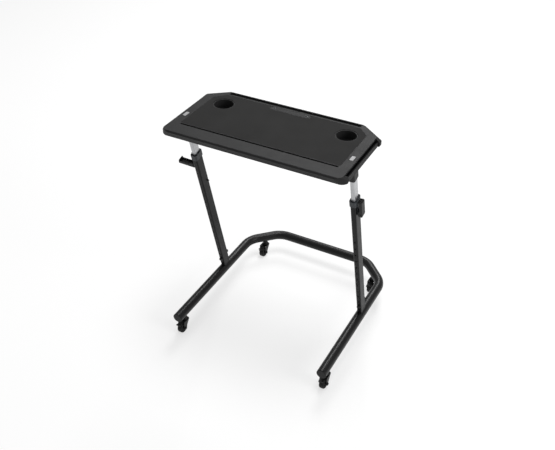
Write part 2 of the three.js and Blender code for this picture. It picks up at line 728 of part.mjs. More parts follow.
// The plastic plug that guides the lower end of the upper leg.
function legGlide() {
  const around = 2 * (LEG_WALL + RUNNING_GAP);
  const flange = roundRect(LOWER_LEG_WIDTH - around, LOWER_LEG_DEPTH - around, LOWER_LEG_CORNER - LEG_WALL);
  const inset = 2 * LEG_WALL + 2 * SEAT_GAP;
  const boss = roundRect(UPPER_LEG_WIDTH - inset, UPPER_LEG_DEPTH - inset, UPPER_LEG_CORNER - LEG_WALL / 2);
  const flangeTop = upperLegBottom - SEAT_GAP;
  const body = prism(flange, flangeTop - GLIDE_FLANGE, flangeTop);
  return shaped(body, [prism(boss, flangeTop - GLIDE_FLANGE / 2, upperLegBottom + GLIDE_BOSS)], []);
}

// A spring button with its leaf, standing just behind the hole it has clicked into.
function indexButton() {
  const wallInside = UPPER_LEG_DEPTH / 2 - LEG_WALL;
  const leafFront = -wallInside + SEAT_GAP;
  const leafBack = leafFront + BUTTON_LEAF_THICKNESS;
  const tip = LEG_WALL + SEAT_GAP - LOWER_LEG_DEPTH / 2;
  const button = rodY(BUTTON_RADIUS, tip, leafBack, 12);
  const half = BUTTON_LEAF_WIDTH / 2;
  const leaf = box(-half, half, leafFront, leafBack, -BUTTON_RADIUS, BUTTON_LEAF_LENGTH);
  const backBottom = BUTTON_LEAF_LENGTH - BUTTON_BACK;
  const back = box(-half, half, leafFront, leafBack + BUTTON_BACK, backBottom, BUTTON_LEAF_LENGTH);
  return shaped(button, [leaf, back], []);
}

// The collar on top of the lower leg. Its outer side is built towards +X.
function legCollar() {
  const outerWidth = LOWER_LEG_WIDTH + 2 * (SEAT_GAP + COLLAR_WALL);
  const outerDepth = LOWER_LEG_DEPTH + 2 * (SEAT_GAP + COLLAR_WALL);
  const ring = prism(roundRect(outerWidth, outerDepth, COLLAR_CORNER), collarBottom, collarTop);
  const bore = roundRect(LOWER_LEG_WIDTH + 2 * SEAT_GAP, LOWER_LEG_DEPTH + 2 * SEAT_GAP, LOWER_LEG_CORNER);
  const mouthWidth = UPPER_LEG_WIDTH + 2 * RUNNING_GAP;
  const mouth = roundRect(mouthWidth, UPPER_LEG_DEPTH + 2 * RUNNING_GAP, UPPER_LEG_CORNER);
  const face = LOWER_LEG_WIDTH / 2 + SEAT_GAP;
  const pivotHeight = collarBottom - LEVER_PIVOT_BELOW_COLLAR;
  const tongue = box(
    face, face + TONGUE_THICKNESS, -LUG_WIDTH / 2, LUG_WIDTH / 2,
    pivotHeight - LUG_RADIUS, collarBottom + COLLAR_WALL,
  );
  const lug = rodY(LUG_RADIUS, -LUG_WIDTH / 2, LUG_WIDTH / 2, 12).translate(LEVER_PIVOT_OUT, 0, pivotHeight);
  const lugNeck = box(
    face, LEVER_PIVOT_OUT, -LUG_WIDTH / 2, LUG_WIDTH / 2,
    pivotHeight - LUG_RADIUS, pivotHeight + LUG_RADIUS,
  );
  const pinHole = rodY(LEVER_PIN_RADIUS + SEAT_GAP, -LEVER_WIDTH, LEVER_WIDTH, 12);
  pinHole.translate(LEVER_PIVOT_OUT, 0, pivotHeight);
  const ear = box(
    face, outerWidth / 2, -COLLAR_EAR_THICKNESS / 2, COLLAR_EAR_THICKNESS / 2,
    collarTop - COLLAR_LIP, collarTop + COLLAR_EAR_RISE,
  );
  const ears = [-COLLAR_EAR_SPREAD, COLLAR_EAR_SPREAD].map((y) => ear.clone().translate(0, y, 0));
  return shaped(
    ring,
    [tongue, lug, lugNeck, ...ears],
    [
      prism(bore, collarBottom - CUT_OVERRUN, LOWER_LEG_TOP + SEAT_GAP),
      prism(mouth, collarBottom, collarTop + CUT_OVERRUN),
      pinHole,
    ],
  );
}

// The clamp lever, closed, about its pivot: a channel that faces the leg, a cam end and a horn.
function clampLever() {
  const outline = new THREE.Shape();
  const camStart = -Math.acos(LEVER_FACE_OUT / LEVER_CAM_RADIUS);
  const flangeEdge = LEVER_FACE_OUT - LEVER_FLANGE_DEPTH;
  const hornEdge = LEVER_FACE_OUT - LEVER_HORN_DEPTH;
  const waist = LEVER_CAM_RADIUS + LEVER_FLANGE_DEPTH;
  outline.absarc(0, 0, LEVER_CAM_RADIUS, camStart, -Math.PI, true);
  outline.lineTo(-LEVER_CAM_RADIUS, LEVER_PLATE);
  outline.lineTo(flangeEdge, waist);
  outline.lineTo(flangeEdge, LEVER_LENGTH - 3 * LEVER_PLATE);
  outline.lineTo(hornEdge, LEVER_LENGTH - 2 * LEVER_PLATE);
  outline.lineTo(hornEdge, LEVER_LENGTH - LEVER_PLATE);
  outline.lineTo(LEVER_FACE_OUT - LEVER_PLATE, LEVER_LENGTH);
  outline.lineTo(LEVER_FACE_OUT, LEVER_LENGTH - LEVER_PLATE);
  const options = { depth: LEVER_WIDTH, bevelEnabled: false, curveSegments: 8 };
  const body = new THREE.ExtrudeGeometry(outline, options);
  body.rotateX(Math.PI / 2).translate(0, LEVER_WIDTH / 2, 0);
  const inside = LEVER_WIDTH / 2 - LEVER_FLANGE;
  const channelTop = LEVER_LENGTH - 2 * LEVER_PLATE;
  const channel = box(
    -LEVER_LENGTH, LEVER_FACE_OUT - LEVER_PLATE, -inside, inside,
    -LEVER_CAM_RADIUS - CUT_OVERRUN, channelTop,
  );
  const pinHole = rodY(LEVER_PIN_RADIUS + SEAT_GAP, -LEVER_WIDTH, LEVER_WIDTH, 12);
  return shaped(body, [], [channel, pinHole]);
}

function leverPin() {
  const end = LEVER_WIDTH / 2 + SEAT_GAP;
  const shank = rodY(LEVER_PIN_RADIUS, -end - LEVER_PIN_HEAD_HEIGHT / 2, end + LEVER_PIN_HEAD_HEIGHT / 2, 12);
  const head = rodY(LEVER_PIN_HEAD_RADIUS, 0, LEVER_PIN_HEAD_HEIGHT, 12);
  const heads = [end, -end - LEVER_PIN_HEAD_HEIGHT].map((y) => head.clone().translate(0, y, 0));
  return shaped(shank, heads, []);
}

// The block that holds the upper leg, with its level flange against the underside of the top.
// Its inner side is built towards -X.
function legHead() {
  const outerWidth = UPPER_LEG_WIDTH + 2 * (SEAT_GAP + HEAD_WALL);
  const outerDepth = UPPER_LEG_DEPTH + 2 * (SEAT_GAP + HEAD_WALL);
  const block = prism(roundRect(outerWidth, outerDepth, HEAD_CORNER), headBottom, headTop + HEAD_LENGTH);
  const socketWidth = UPPER_LEG_WIDTH + 2 * SEAT_GAP;
  const socket = roundRect(socketWidth, UPPER_LEG_DEPTH + 2 * SEAT_GAP, UPPER_LEG_CORNER + SEAT_GAP);
  const reach = HEAD_FLANGE_DEPTH / 2;
  const inner = -HEAD_FLANGE_INSET - HEAD_FLANGE_WIDTH / 2;
  const outer = HEAD_FLANGE_WIDTH / 2 - HEAD_FLANGE_INSET;
  const flange = box(inner, outer, -reach, reach, -HEAD_FLANGE_THICKNESS, 0);
  const above = box(-HEAD_LENGTH, HEAD_LENGTH, -TOP_DEPTH, TOP_DEPTH, 0, 2 * HEAD_LENGTH);
  const screwHoles = [-1, 1].map((end) => {
    const hole = postZ(HEAD_SCREW_RADIUS + SEAT_GAP, -HEAD_FLANGE_THICKNESS - CUT_OVERRUN, CUT_OVERRUN, 12);
    return hole.translate(-HEAD_FLANGE_INSET, end * (reach - HEAD_SCREW_FROM_END), 0);
  });
  const level = [flange, above, ...screwHoles].map((piece) => piece.rotateX(-lean).translate(0, 0, headTop));
  const [levelFlange, ...levelCuts] = level;
  const socketCut = prism(socket, headBottom - CUT_OVERRUN, headBottom + HEAD_SOCKET);
  return shaped(block, [levelFlange], [socketCut, ...levelCuts]);
}

// The part of a leg that stays with the base.
function makeLowerLeg(side, sideName) {
  const leg = new THREE.Group();
  leg.position.set(side * armX, legFootY, tubeHeight);
  leg.rotation.x = lean;
  leg.add(named(`${sideName}_lower_leg`, lowerLeg(), materials.blackSteel));
  leg.add(named(`${sideName}_foot_core`, footCore(), materials.blackSteel));
  const bolt = named(`${sideName}_leg_bolt`, legBolt(), materials.blackPlastic);
  bolt.position.z = LEG_BOLT_HEIGHT;
  leg.add(bolt);
  const outward = new THREE.Group();
  outward.rotation.z = side === RIGHT ? 0 : Math.PI;
  outward.add(named(`${sideName}_leg_collar`, legCollar(), materials.blackPlastic));
  const pivot = new THREE.Group();
  pivot.position.set(LEVER_PIVOT_OUT, 0, collarBottom - LEVER_PIVOT_BELOW_COLLAR);
  const lever = named(`${sideName}_clamp_lever`, clampLever(), materials.blackPlastic);
  lever.rotation.y = side === RIGHT ? 0 : THREE.MathUtils.degToRad(LEVER_OPEN_DEGREES);
  pivot.add(lever, named(`${sideName}_lever_pin`, leverPin(), materials.zinc));
  outward.add(pivot);
  leg.add(outward);
  return leg;
}

// The part of a leg that rises and falls with the top.
function makeUpperLeg(side, sideName) {
  const leg = new THREE.Group();
  leg.position.set(side * armX, legFootY, tubeHeight);
  leg.rotation.x = lean;
  leg.add(named(`${sideName}_upper_leg`, upperLeg(), materials.silverTube));
  leg.add(named(`${sideName}_leg_glide`, legGlide(), materials.blackPlastic));
  const button = named(`${sideName}_index_button`, indexButton(), materials.zinc);
  button.position.z = buttonHeight;
  leg.add(button);
  const headShape = side === RIGHT ? legHead() : mirroredX(legHead());
  const head = named(`${sideName}_leg_head`, headShape, materials.blackPlastic);
  leg.add(head);
  return leg;
}

// Mirrors a closed geometry across its YZ plane and keeps its faces outward.
function mirroredX(geometry) {
  const mirrored = geometry.clone().scale(-1, 1, 1);
  const index = mirrored.index.array;
  for (let i = 0; i < index.length; i += 3) {
    [index[i], index[i + 1]] = [index[i + 1], index[i]];
  }
  mirrored.computeVertexNormals();
  return mirrored;
}

// Moulded top, about the centre of its outline, with its upper surface at zero height

function topCorners() {
  const x = topWidth / 2;
  const y = TOP_DEPTH / 2;
  return [
    [-x, -y],
    [x, -y],
    [x, y - TOP_CHAMFER_DEPTH],
    [x - TOP_CHAMFER_WIDTH, y],
    [TOP_CHAMFER_WIDTH - x, y],
    [-x, y - TOP_CHAMFER_DEPTH],
  ].map(([px, py]) => new THREE.Vector2(px, py));
}

// One level outline of the top, drawn in by one distance at the front and another elsewhere.
function topOutline(frontInset, inset) {
  const insets = [frontInset, inset, inset, inset, inset, inset];
  const front = TOP_FRONT_RADIUS - Math.min(frontInset, inset);
  const rear = TOP_CHAMFER_RADIUS;
  return roundedPoints(insetCorners(topCorners(), insets), [front, front, rear, rear, rear, rear], 8);
}

// The outer form: its side and rear edges slope outwards and then drop, its front edge tucks under.
function topBody() {
  const round = TOP_EDGE_ROUND;
  const levels = [
    [-TOP_THICKNESS, TOP_UNDERCUT + round, round],
    [round - TOP_THICKNESS, TOP_UNDERCUT, 0],
    [-TOP_EDGE_DROP, TOP_UNDERCUT / 2, 0],
    [-TOP_FRONT_ROUND, 0, TOP_EDGE_SLOPE / 2],
    [-TOP_FRONT_ROUND / 3, TOP_FRONT_ROUND / 4, TOP_EDGE_SLOPE - round],
    [0, TOP_FRONT_ROUND, TOP_EDGE_SLOPE],
  ];
  return loft(levels.map(([, front, side]) => topOutline(front, side)), levels.map(([height]) => height));
}

// The space inside the outer form, open below, with a wall left all round and a skin above.
function topHollow() {
  const skin = -MAT_THICKNESS - TOP_SKIN;
  const below = TOP_UNDERCUT + TOP_EDGE_ROUND + TOP_WALL;
  const levels = [
    [-TOP_THICKNESS - CUT_OVERRUN, below + TOP_WALL, TOP_WALL + TOP_EDGE_ROUND],
    [-TOP_THICKNESS, below, TOP_WALL + TOP_EDGE_ROUND],
    [-TOP_EDGE_DROP, TOP_UNDERCUT / 2 + TOP_WALL, TOP_WALL],
    [skin, TOP_WALL, TOP_EDGE_SLOPE],
  ];
  return loft(levels.map(([, front, side]) => topOutline(front, side)), levels.map(([height]) => height));
}

// The side grip on the +X edge: a wall recessed under the rim, above a thin lip.
function gripCuts() {
  const outer = topWidth / 2;
  const wall = outer - TOP_EDGE_SLOPE;
  const front = GRIP_FROM_FRONT - TOP_DEPTH / 2;
  const rear = front + GRIP_LENGTH;
  const lipTop = GRIP_LIP_THICKNESS - TOP_THICKNESS;
  return [
    box(wall, outer + CUT_OVERRUN, front, rear, lipTop, CUT_OVERRUN),
    box(wall - GRIP_RECESS, outer, front, rear, lipTop, -GRIP_EDGE_THICKNESS),
    box(wall + GRIP_LIP_WIDTH, outer + CUT_OVERRUN, front, rear, -TOP_THICKNESS - CUT_OVERRUN, CUT_OVERRUN),
  ];
}

// What stays solid inside the hollow: ribs, screw bosses and the walls round each recess.
function topRibs() {
  const deep = -TOP_THICKNESS;
  const halfWidth = topWidth / 2;
  const halfDepth = TOP_DEPTH / 2;
  const halfRib = RIB_THICKNESS / 2;
  const grooveY = GROOVE_FROM_FRONT - halfDepth;
  const troughY = halfDepth - TROUGH_FROM_REAR;
  const ribs = [];
  for (let i = 1; i <= RIB_COLUMNS; i += 1) {
    const x = (topWidth * i) / (RIB_COLUMNS + 1) - halfWidth;
    ribs.push(box(x - halfRib, x + halfRib, -halfDepth, halfDepth, deep, 0));
  }
  for (let i = 1; i <= RIB_ROWS; i += 1) {
    const y = (TOP_DEPTH * i) / (RIB_ROWS + 1) - halfDepth;
    ribs.push(box(-halfWidth, halfWidth, y - halfRib, y + halfRib, deep, 0));
  }
  const grooveWall = GROOVE_WIDTH / 2 + TOP_WALL;
  const grooveEnd = grooveLength / 2 + TOP_WALL;
  const grooveBottom = -GROOVE_DEPTH - TOP_WALL;
  ribs.push(box(-grooveEnd, grooveEnd, grooveY - grooveWall, grooveY + grooveWall, grooveBottom, 0));
  const troughWall = TROUGH_WIDTH / 2 + TOP_WALL;
  const troughEnd = troughLength / 2 + TOP_WALL;
  const troughBottom = -TROUGH_DEPTH - TOP_WALL;
  ribs.push(box(-troughEnd, troughEnd, troughY - troughWall, troughY + troughWall, troughBottom, 0));
  for (const side of [LEFT, RIGHT]) {
    const well = postZ(cupHoleRadius + TOP_WALL, deep, 0, CUP_SIDES);
    ribs.push(well.translate(side * cupX, cupY, 0));
    for (const end of [-1, 1]) {
      const boss = postZ(BOSS_RADIUS, deep, 0, 12);
      ribs.push(boss.translate(side * (armX - HEAD_FLANGE_INSET), headScrewY(end), 0));
    }
    const wall = halfWidth - TOP_EDGE_SLOPE - GRIP_RECESS;
    const front = GRIP_FROM_FRONT - halfDepth - TOP_WALL;
    const grip = box(wall - TOP_WALL, halfWidth, front, front + GRIP_LENGTH + 2 * TOP_WALL, deep, 0);
    const turnedBy = 2 * (front + TOP_WALL) + GRIP_LENGTH;
    ribs.push(side === RIGHT ? grip : grip.rotateZ(Math.PI).translate(0, turnedBy, 0));
  }
  return ribs;
}

// The outline of the mat, grown by a distance for the recess it lies in.
function matShape(grow) {
  const x = topWidth / 2 - MAT_SIDE_RIM;
  const front = MAT_FRONT_RIM - TOP_DEPTH / 2;
  const rear = TOP_DEPTH / 2 - MAT_REAR_RIM;
  const corners = [
    [-x, front],
    [x, front],
    [x, rear - MAT_CHAMFER_DEPTH],
    [x - MAT_CHAMFER_WIDTH, rear],
    [MAT_CHAMFER_WIDTH - x, rear],
    [-x, rear - MAT_CHAMFER_DEPTH],
  ].map(([px, py]) => new THREE.Vector2(px, py));
  const count = corners.length;
  const grown = insetCorners(corners, new Array(count).fill(-grow));
  return new THREE.Shape(roundedPoints(grown, new Array(count).fill(MAT_CORNER_RADIUS + grow), 3));
}

const cupY = TOP_DEPTH / 2 - CUP_FROM_REAR;
const badgeX = topWidth / 2 - BADGE_FROM_SIDE;
const badgeY = BADGE_FROM_FRONT - TOP_DEPTH / 2;
const insertY = TOP_DEPTH / 2 - INSERT_FROM_REAR;
const cupHoleRadius = CUP_RADIUS + CUP_WALL + SEAT_GAP;
const cupLipRadius = CUP_RADIUS + CUP_WALL + CUP_LIP_WIDTH;

function moulding() {
  const cuts = [shaped(topHollow(), [], topRibs()), prism(matShape(MAT_GAP), -MAT_THICKNESS, CUT_OVERRUN, 3)];
  cuts.push(...gripCuts(), ...gripCuts().map(mirroredX));
  const groove = roundRect(grooveLength, GROOVE_WIDTH, GROOVE_WIDTH / 2 - SEAT_GAP);
  cuts.push(prism(groove, -GROOVE_DEPTH, CUT_OVERRUN).translate(0, GROOVE_FROM_FRONT - TOP_DEPTH / 2, 0));
  const trough = roundRect(troughLength, TROUGH_WIDTH, TROUGH_WIDTH / 5);
  cuts.push(prism(trough, -TROUGH_DEPTH, CUT_OVERRUN).translate(0, TOP_DEPTH / 2 - TROUGH_FROM_REAR, 0));
  const insert = roundRect(INSERT_LENGTH + 2 * SEAT_GAP, INSERT_WIDTH + 2 * SEAT_GAP, INSERT_WIDTH / 2);
  cuts.push(prism(insert, -INSERT_THICKNESS - SEAT_GAP, CUT_OVERRUN, 4).translate(0, insertY, 0));
  for (const side of [LEFT, RIGHT]) {
    const hole = postZ(cupHoleRadius, -TOP_THICKNESS - CUT_OVERRUN, CUT_OVERRUN, CUP_SIDES);
    cuts.push(hole.translate(side * cupX, cupY, 0));
    const seat = postZ(cupLipRadius + SEAT_GAP, -MAT_THICKNESS - CUP_LIP_THICKNESS, CUT_OVERRUN, CUP_SIDES);
    cuts.push(seat.translate(side * cupX, cupY, 0));
    const badge = roundRect(BADGE_WIDTH + 2 * SEAT_GAP, BADGE_LENGTH + 2 * SEAT_GAP, BADGE_WIDTH / 4);
    cuts.push(prism(badge, -BADGE_SINK, CUT_OVERRUN, 2).translate(side * badgeX, badgeY, 0));
    for (const end of [-1, 1]) {
      const pilotTop = HEAD_SCREW_BITE - TOP_THICKNESS;
      const pilot = postZ(HEAD_SCREW_RADIUS + SEAT_GAP, -TOP_THICKNESS - CUT_OVERRUN, pilotTop, 12);
      const x = side * (armX - HEAD_FLANGE_INSET);
      cuts.push(pilot.translate(x, headScrewY(end), 0));
    }
  }
  return shaped(topBody(), [], cuts);
}

// Where a head screw stands, forward (-1) or back (1) on the flange, from the centre of the top.
function headScrewY(end) {
  return end * (HEAD_FLANGE_DEPTH / 2 - HEAD_SCREW_FROM_END) - TOP_AHEAD_OF_LEG;
}

function deskMat() {
  const cuts = [LEFT, RIGHT].map((side) => {
    const hole = postZ(cupLipRadius + MAT_GAP, -MAT_THICKNESS - CUT_OVERRUN, CUT_OVERRUN, CUP_SIDES);
    return hole.translate(side * cupX, cupY, 0);
  });
  const insertWidth = INSERT_WIDTH + 2 * MAT_GAP;
  const insert = roundRect(INSERT_LENGTH + 2 * MAT_GAP, insertWidth, (INSERT_WIDTH + MAT_GAP) / 2);
  cuts.push(prism(insert, -MAT_THICKNESS - CUT_OVERRUN, CUT_OVERRUN, 4).translate(0, insertY, 0));
  return shaped(prism(matShape(0), SEAT_GAP - MAT_THICKNESS, 0, 3), [], cuts);
}

function cupWell() {
  const lipTop = -MAT_THICKNESS + SEAT_GAP + CUP_LIP_THICKNESS / 2;
  const lipBottom = lipTop - CUP_LIP_THICKNESS;
  const floor = -CUP_DEPTH;
  const slope = CUP_RADIUS - CUP_BOTTOM_RADIUS;
  const profile = [
    [0, floor - CUP_WALL],
    [CUP_BOTTOM_RADIUS + CUP_WALL / 2, floor - CUP_WALL],
    [CUP_BOTTOM_RADIUS + CUP_WALL, floor],
    [CUP_RADIUS + CUP_WALL, -TOP_THICKNESS - slope],
    [CUP_RADIUS + CUP_WALL, lipBottom],
    [cupLipRadius, lipBottom],
    [cupLipRadius, lipTop - CUP_LIP_THICKNESS / 3],
    [cupLipRadius - CUP_LIP_THICKNESS / 3, lipTop],
    [CUP_RADIUS, lipTop],
    [CUP_RADIUS, -TOP_THICKNESS - slope],
    [CUP_BOTTOM_RADIUS, floor + slope],
    [CUP_BOTTOM_RADIUS - slope, floor],
    [0, floor],
  ];
  return geometryOf(solidOf(turnedZ(profile, CUP_SIDES)));
}

function rearInsert() {
  const strip = roundRect(INSERT_LENGTH, INSERT_WIDTH, INSERT_WIDTH / 2 - SEAT_GAP);
  const holes = [-1, 1].map((end) => {
    const hole = postZ(INSERT_HOLE_RADIUS, -INSERT_HOLE_DEPTH, CUT_OVERRUN, 8);
    return hole.translate((end * INSERT_HOLE_SPACING) / 2, 0, 0);
  });
  return shaped(prism(strip, -INSERT_THICKNESS, 0, 4), [], holes);
}

function badgePlate() {
  const bottom = SEAT_GAP - BADGE_SINK;
  return prism(roundRect(BADGE_WIDTH, BADGE_LENGTH, BADGE_WIDTH / 4), bottom, bottom + BADGE_THICKNESS, 2);
}

function headScrew() {
  const profile = [
    [0, -HEAD_SCREW_HEAD_HEIGHT],
    [HEAD_SCREW_HEAD_RADIUS / 2, -HEAD_SCREW_HEAD_HEIGHT],
    [HEAD_SCREW_HEAD_RADIUS, -HEAD_SCREW_HEAD_HEIGHT / 2],
    [HEAD_SCREW_HEAD_RADIUS, 0],
    [HEAD_SCREW_RADIUS, 0],
    [HEAD_SCREW_RADIUS, HEAD_FLANGE_THICKNESS + HEAD_SCREW_BITE - HEAD_SCREW_RADIUS],
    [0, HEAD_FLANGE_THICKNESS + HEAD_SCREW_BITE],
  ];
  return geometryOf(solidOf(turnedZ(profile, SMALL_SIDES)));
}

function makeTop() {
  const top = new THREE.Group();
  top.position.set(0, topCentreY, surfaceZ);
  top.add(named('desktop', moulding(), materials.topPlastic));
  top.add(named('desk_mat', deskMat(), materials.matRubber));
  const insert = named('rear_insert', rearInsert(), materials.topPlastic);
  insert.position.y = insertY;
  top.add(insert);
  for (const [side, sideName] of [[LEFT, 'left'], [RIGHT, 'right']]) {
    const well = named(`${sideName}_cup_well`, cupWell(), materials.wellPlastic);
    well.position.set(side * cupX, cupY, 0);
    top.add(well);
    const badge = named(`${sideName}_badge_plate`, badgePlate(), materials.badgePlate);
    badge.position.set(side * badgeX, badgeY, 0);
    top.add(badge);
    for (const [end, endName] of [[-1, 'front'], [1, 'rear']]) {
      const screw = named(`${sideName}_${endName}_head_screw`, headScrew(), materials.zinc);
      const seat = undersideZ - surfaceZ - HEAD_FLANGE_THICKNESS - SEAT_GAP;
      screw.position.set(side * (armX - HEAD_FLANGE_INSET), headScrewY(end), seat);
      top.add(screw);
    }
  }
  return top;
}

const bikeTrainerDesk = new THREE.Group();
bikeTrainerDesk.position.x = centreShift;
bikeTrainerDesk.add(makeBase(), makeCasters(), makeTop());
for (const [side, sideName] of [[LEFT, 'left'], [RIGHT, 'right']]) {
  bikeTrainerDesk.add(makeLowerLeg(side, sideName), makeUpperLeg(side, sideName));
}

export default bikeTrainerDesk;
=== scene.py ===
"""Looks of a rolling bike trainer desk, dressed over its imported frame.

Lengths are metres in the frame's own axes: +Z is up, the rider sits on the -Y side and +X is on
the rider's right. Every finished piece stands at the origin with its place in its mesh.
"""

from __future__ import annotations

import logging
import math
from dataclasses import dataclass, replace
from enum import Enum
from functools import cache
from typing import Any, Sequence

import bmesh
import bpy
from mathutils import Matrix, Vector

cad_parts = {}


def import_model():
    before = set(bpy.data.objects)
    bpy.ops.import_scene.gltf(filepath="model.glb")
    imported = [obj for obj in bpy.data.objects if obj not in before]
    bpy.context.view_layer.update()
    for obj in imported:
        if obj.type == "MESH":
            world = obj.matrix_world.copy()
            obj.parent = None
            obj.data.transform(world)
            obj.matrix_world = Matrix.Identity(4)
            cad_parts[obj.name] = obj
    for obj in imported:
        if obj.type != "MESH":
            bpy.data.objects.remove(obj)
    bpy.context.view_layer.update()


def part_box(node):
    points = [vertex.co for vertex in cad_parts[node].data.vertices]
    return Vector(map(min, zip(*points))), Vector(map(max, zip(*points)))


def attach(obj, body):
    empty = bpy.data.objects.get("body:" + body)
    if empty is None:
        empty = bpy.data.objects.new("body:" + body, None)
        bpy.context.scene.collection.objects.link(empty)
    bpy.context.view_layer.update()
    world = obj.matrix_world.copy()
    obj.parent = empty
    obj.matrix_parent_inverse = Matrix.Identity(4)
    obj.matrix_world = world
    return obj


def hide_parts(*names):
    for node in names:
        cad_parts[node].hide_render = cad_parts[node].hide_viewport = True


LOG = logging.getLogger("trainer_desk")

MM = 0.001
LEG_LEAN = math.radians(14.1)

# Edges up to this angle are shaded smooth, and faces up to this one lie in one plane.
SMOOTH_ANGLE = math.radians(32)
FLAT_ANGLE = math.radians(0.4)

# Points this near are one point, and points up to this much higher or lower are level.
WELD = 0.002 * MM
LEVEL = 0.01 * MM

# A face is level where this share of its normal or more runs along Z.
LEVEL_FACE = 0.9

# Faces with more corners than this are cut into triangles before their edges are rounded.
MOST_CORNERS = 4

# Bars up to this radius get the smaller number of sides.
FINE_BAR = 5 * MM
FINE_SIDES = 12
ROUND_SIDES = 48


class Side(Enum):
    """The two sides of the desk, as the rider sees them."""

    LEFT = "left"
    RIGHT = "right"

    @property
    def sign(self) -> int:
        """Returns -1 on the left and 1 on the right."""
        return -1 if self is Side.LEFT else 1


class Corner(Enum):
    """The four casters."""

    FRONT_LEFT = "front_left"
    FRONT_RIGHT = "front_right"
    REAR_LEFT = "rear_left"
    REAR_RIGHT = "rear_right"


# Node building


class NodeTree:
    """Adds nodes to a tree and feeds their inputs."""

    def __init__(self, tree: bpy.types.NodeTree) -> None:
        """Starts on a tree, which is emptied."""
        self.tree = tree
        tree.nodes.clear()

    def feed(self, place: bpy.types.NodeSocket, value: Any) -> None:
        """Links a signal or socket to an input, or sets the input to a constant.

        Args:
            place: The input socket.
            value: A signal, an output socket or a plain value.
        """
        source = value.socket if isinstance(value, Signal) else value
        if isinstance(source, bpy.types.NodeSocket):
            self.tree.links.new(source, place)
        else:
            place.default_value = source

    def add(
        self, kind: str, settings: dict[str, Any] | None = None, **inputs: Any,
    ) -> bpy.types.Node:
        """Adds a node.

        Args:
            kind: The node's type name.
            settings: Properties of the node, which are set first.
            **inputs: Inputs by name, in lower case with underscores.

        Returns:
            The new node.
        """
        node = self.tree.nodes.new(kind)
        for key, value in (settings or {}).items():
            setattr(node, key, value)
        places = {place.name.lower(): place for place in reversed(node.inputs)}
        for key, value in inputs.items():
            self.feed(places[key.replace("_", " ")], value)
        return node


class Signal:
    """A number that flows through a node tree and takes part in ordinary arithmetic."""

    def __init__(self, graph: NodeTree, socket: bpy.types.NodeSocket) -> None:
        """Wraps an output socket of a tree."""
        self.graph = graph
        self.socket = socket

    def combine(self, operation: str, other: float | Signal) -> Signal:
        """Adds a Math node on this signal and another value.

        Args:
            operation: The node's operation.
            other: The other value.

        Returns:
            The result.
        """
        node = self.graph.add("ShaderNodeMath", {"operation": operation})
        self.graph.feed(node.inputs[0], self)
        self.graph.feed(node.inputs[1], other)
        return Signal(self.graph, node.outputs[0])

    def __add__(self, other: float | Signal) -> Signal:
        """Returns the sum."""
        return self.combine("ADD", other)

    def __mul__(self, other: float | Signal) -> Signal:
        """Returns the product."""
        return self.combine("MULTIPLY", other)

    __radd__ = __add__
    __rmul__ = __mul__

    def between(self, low: float, high: float) -> Signal:
        """Spreads the stretch from low to high over 0 to 1.

        Args:
            low: The value that becomes 0.
            high: The value that becomes 1.

        Returns:
            The clamped and smoothed signal.
        """
        settings = {"interpolation_type": "SMOOTHSTEP", "clamp": True}
        ends = {"from_min": low, "from_max": high}
        node = self.graph.add("ShaderNodeMapRange", settings, value=self, **ends)
        return Signal(self.graph, node.outputs["Result"])


class ShaderGraph(NodeTree):
    """Builds one material's node tree."""

    def __init__(self, name: str) -> None:
        """Starts an empty material.

        Args:
            name: The material's name.
        """
        self.material = bpy.data.materials.new(name)
        self.material.use_nodes = True
        super().__init__(self.material.node_tree)

    def place(
        self, turn: float = 0.0, stretch: Sequence[float] = (1, 1, 1),
    ) -> bpy.types.NodeSocket:
        """Gives positions in the frame, turned about X and then stretched.

        Args:
            turn: Angle in radians.
            stretch: Scale along each axis.

        Returns:
            The vector output.
        """
        source = self.add("ShaderNodeTexCoord").outputs["Object"]
        mapping = self.add("ShaderNodeMapping", vector=source, rotation=(turn, 0, 0), scale=stretch)
        return mapping.outputs["Vector"]

    def noise(self, place: bpy.types.NodeSocket, scale: float, detail: float) -> Signal:
        """Returns a noise about 0.5 with scale cycles per metre and detail octaves."""
        node = self.add("ShaderNodeTexNoise", vector=place, scale=scale, detail=detail)
        return Signal(self, node.outputs["Fac"])

    def cells(self, place: bpy.types.NodeSocket, scale: float) -> Signal:
        """Returns the smooth distance to the middle of the nearest of scale cells per metre."""
        node = self.add("ShaderNodeTexVoronoi", {"feature": "SMOOTH_F1"}, vector=place, scale=scale)
        return Signal(self, node.outputs["Distance"])

    def mix(
        self, factor: Signal, low: Sequence[float], high: Sequence[float],
    ) -> bpy.types.NodeSocket:
        """Mixes two colours.

        Args:
            factor: 0 for low and 1 for high.
            low: Linear colour.
            high: Linear colour.

        Returns:
            The colour output.
        """
        node = self.add("ShaderNodeMix", {"data_type": "RGBA"})
        sockets = {socket.identifier: socket for socket in [*node.inputs, *node.outputs]}
        self.feed(sockets["Factor_Float"], factor)
        self.feed(sockets["A_Color"], (*low, 1.0))
        self.feed(sockets["B_Color"], (*high, 1.0))
        return sockets["Result_Color"]

    def bump(self, height: Signal, distance: float) -> bpy.types.NodeSocket:
        """Returns the normal of a relief from 0 to 1 that is distance metres deep."""
        node = self.add("ShaderNodeBump", height=height, strength=1.0, distance=distance)
        return node.outputs["Normal"]

    def close(self, shader: bpy.types.NodeSocket) -> bpy.types.Material:
        """Ends the tree with a shader and returns the material."""
        self.add("ShaderNodeOutputMaterial", surface=shader)
        return self.material


# Finishes


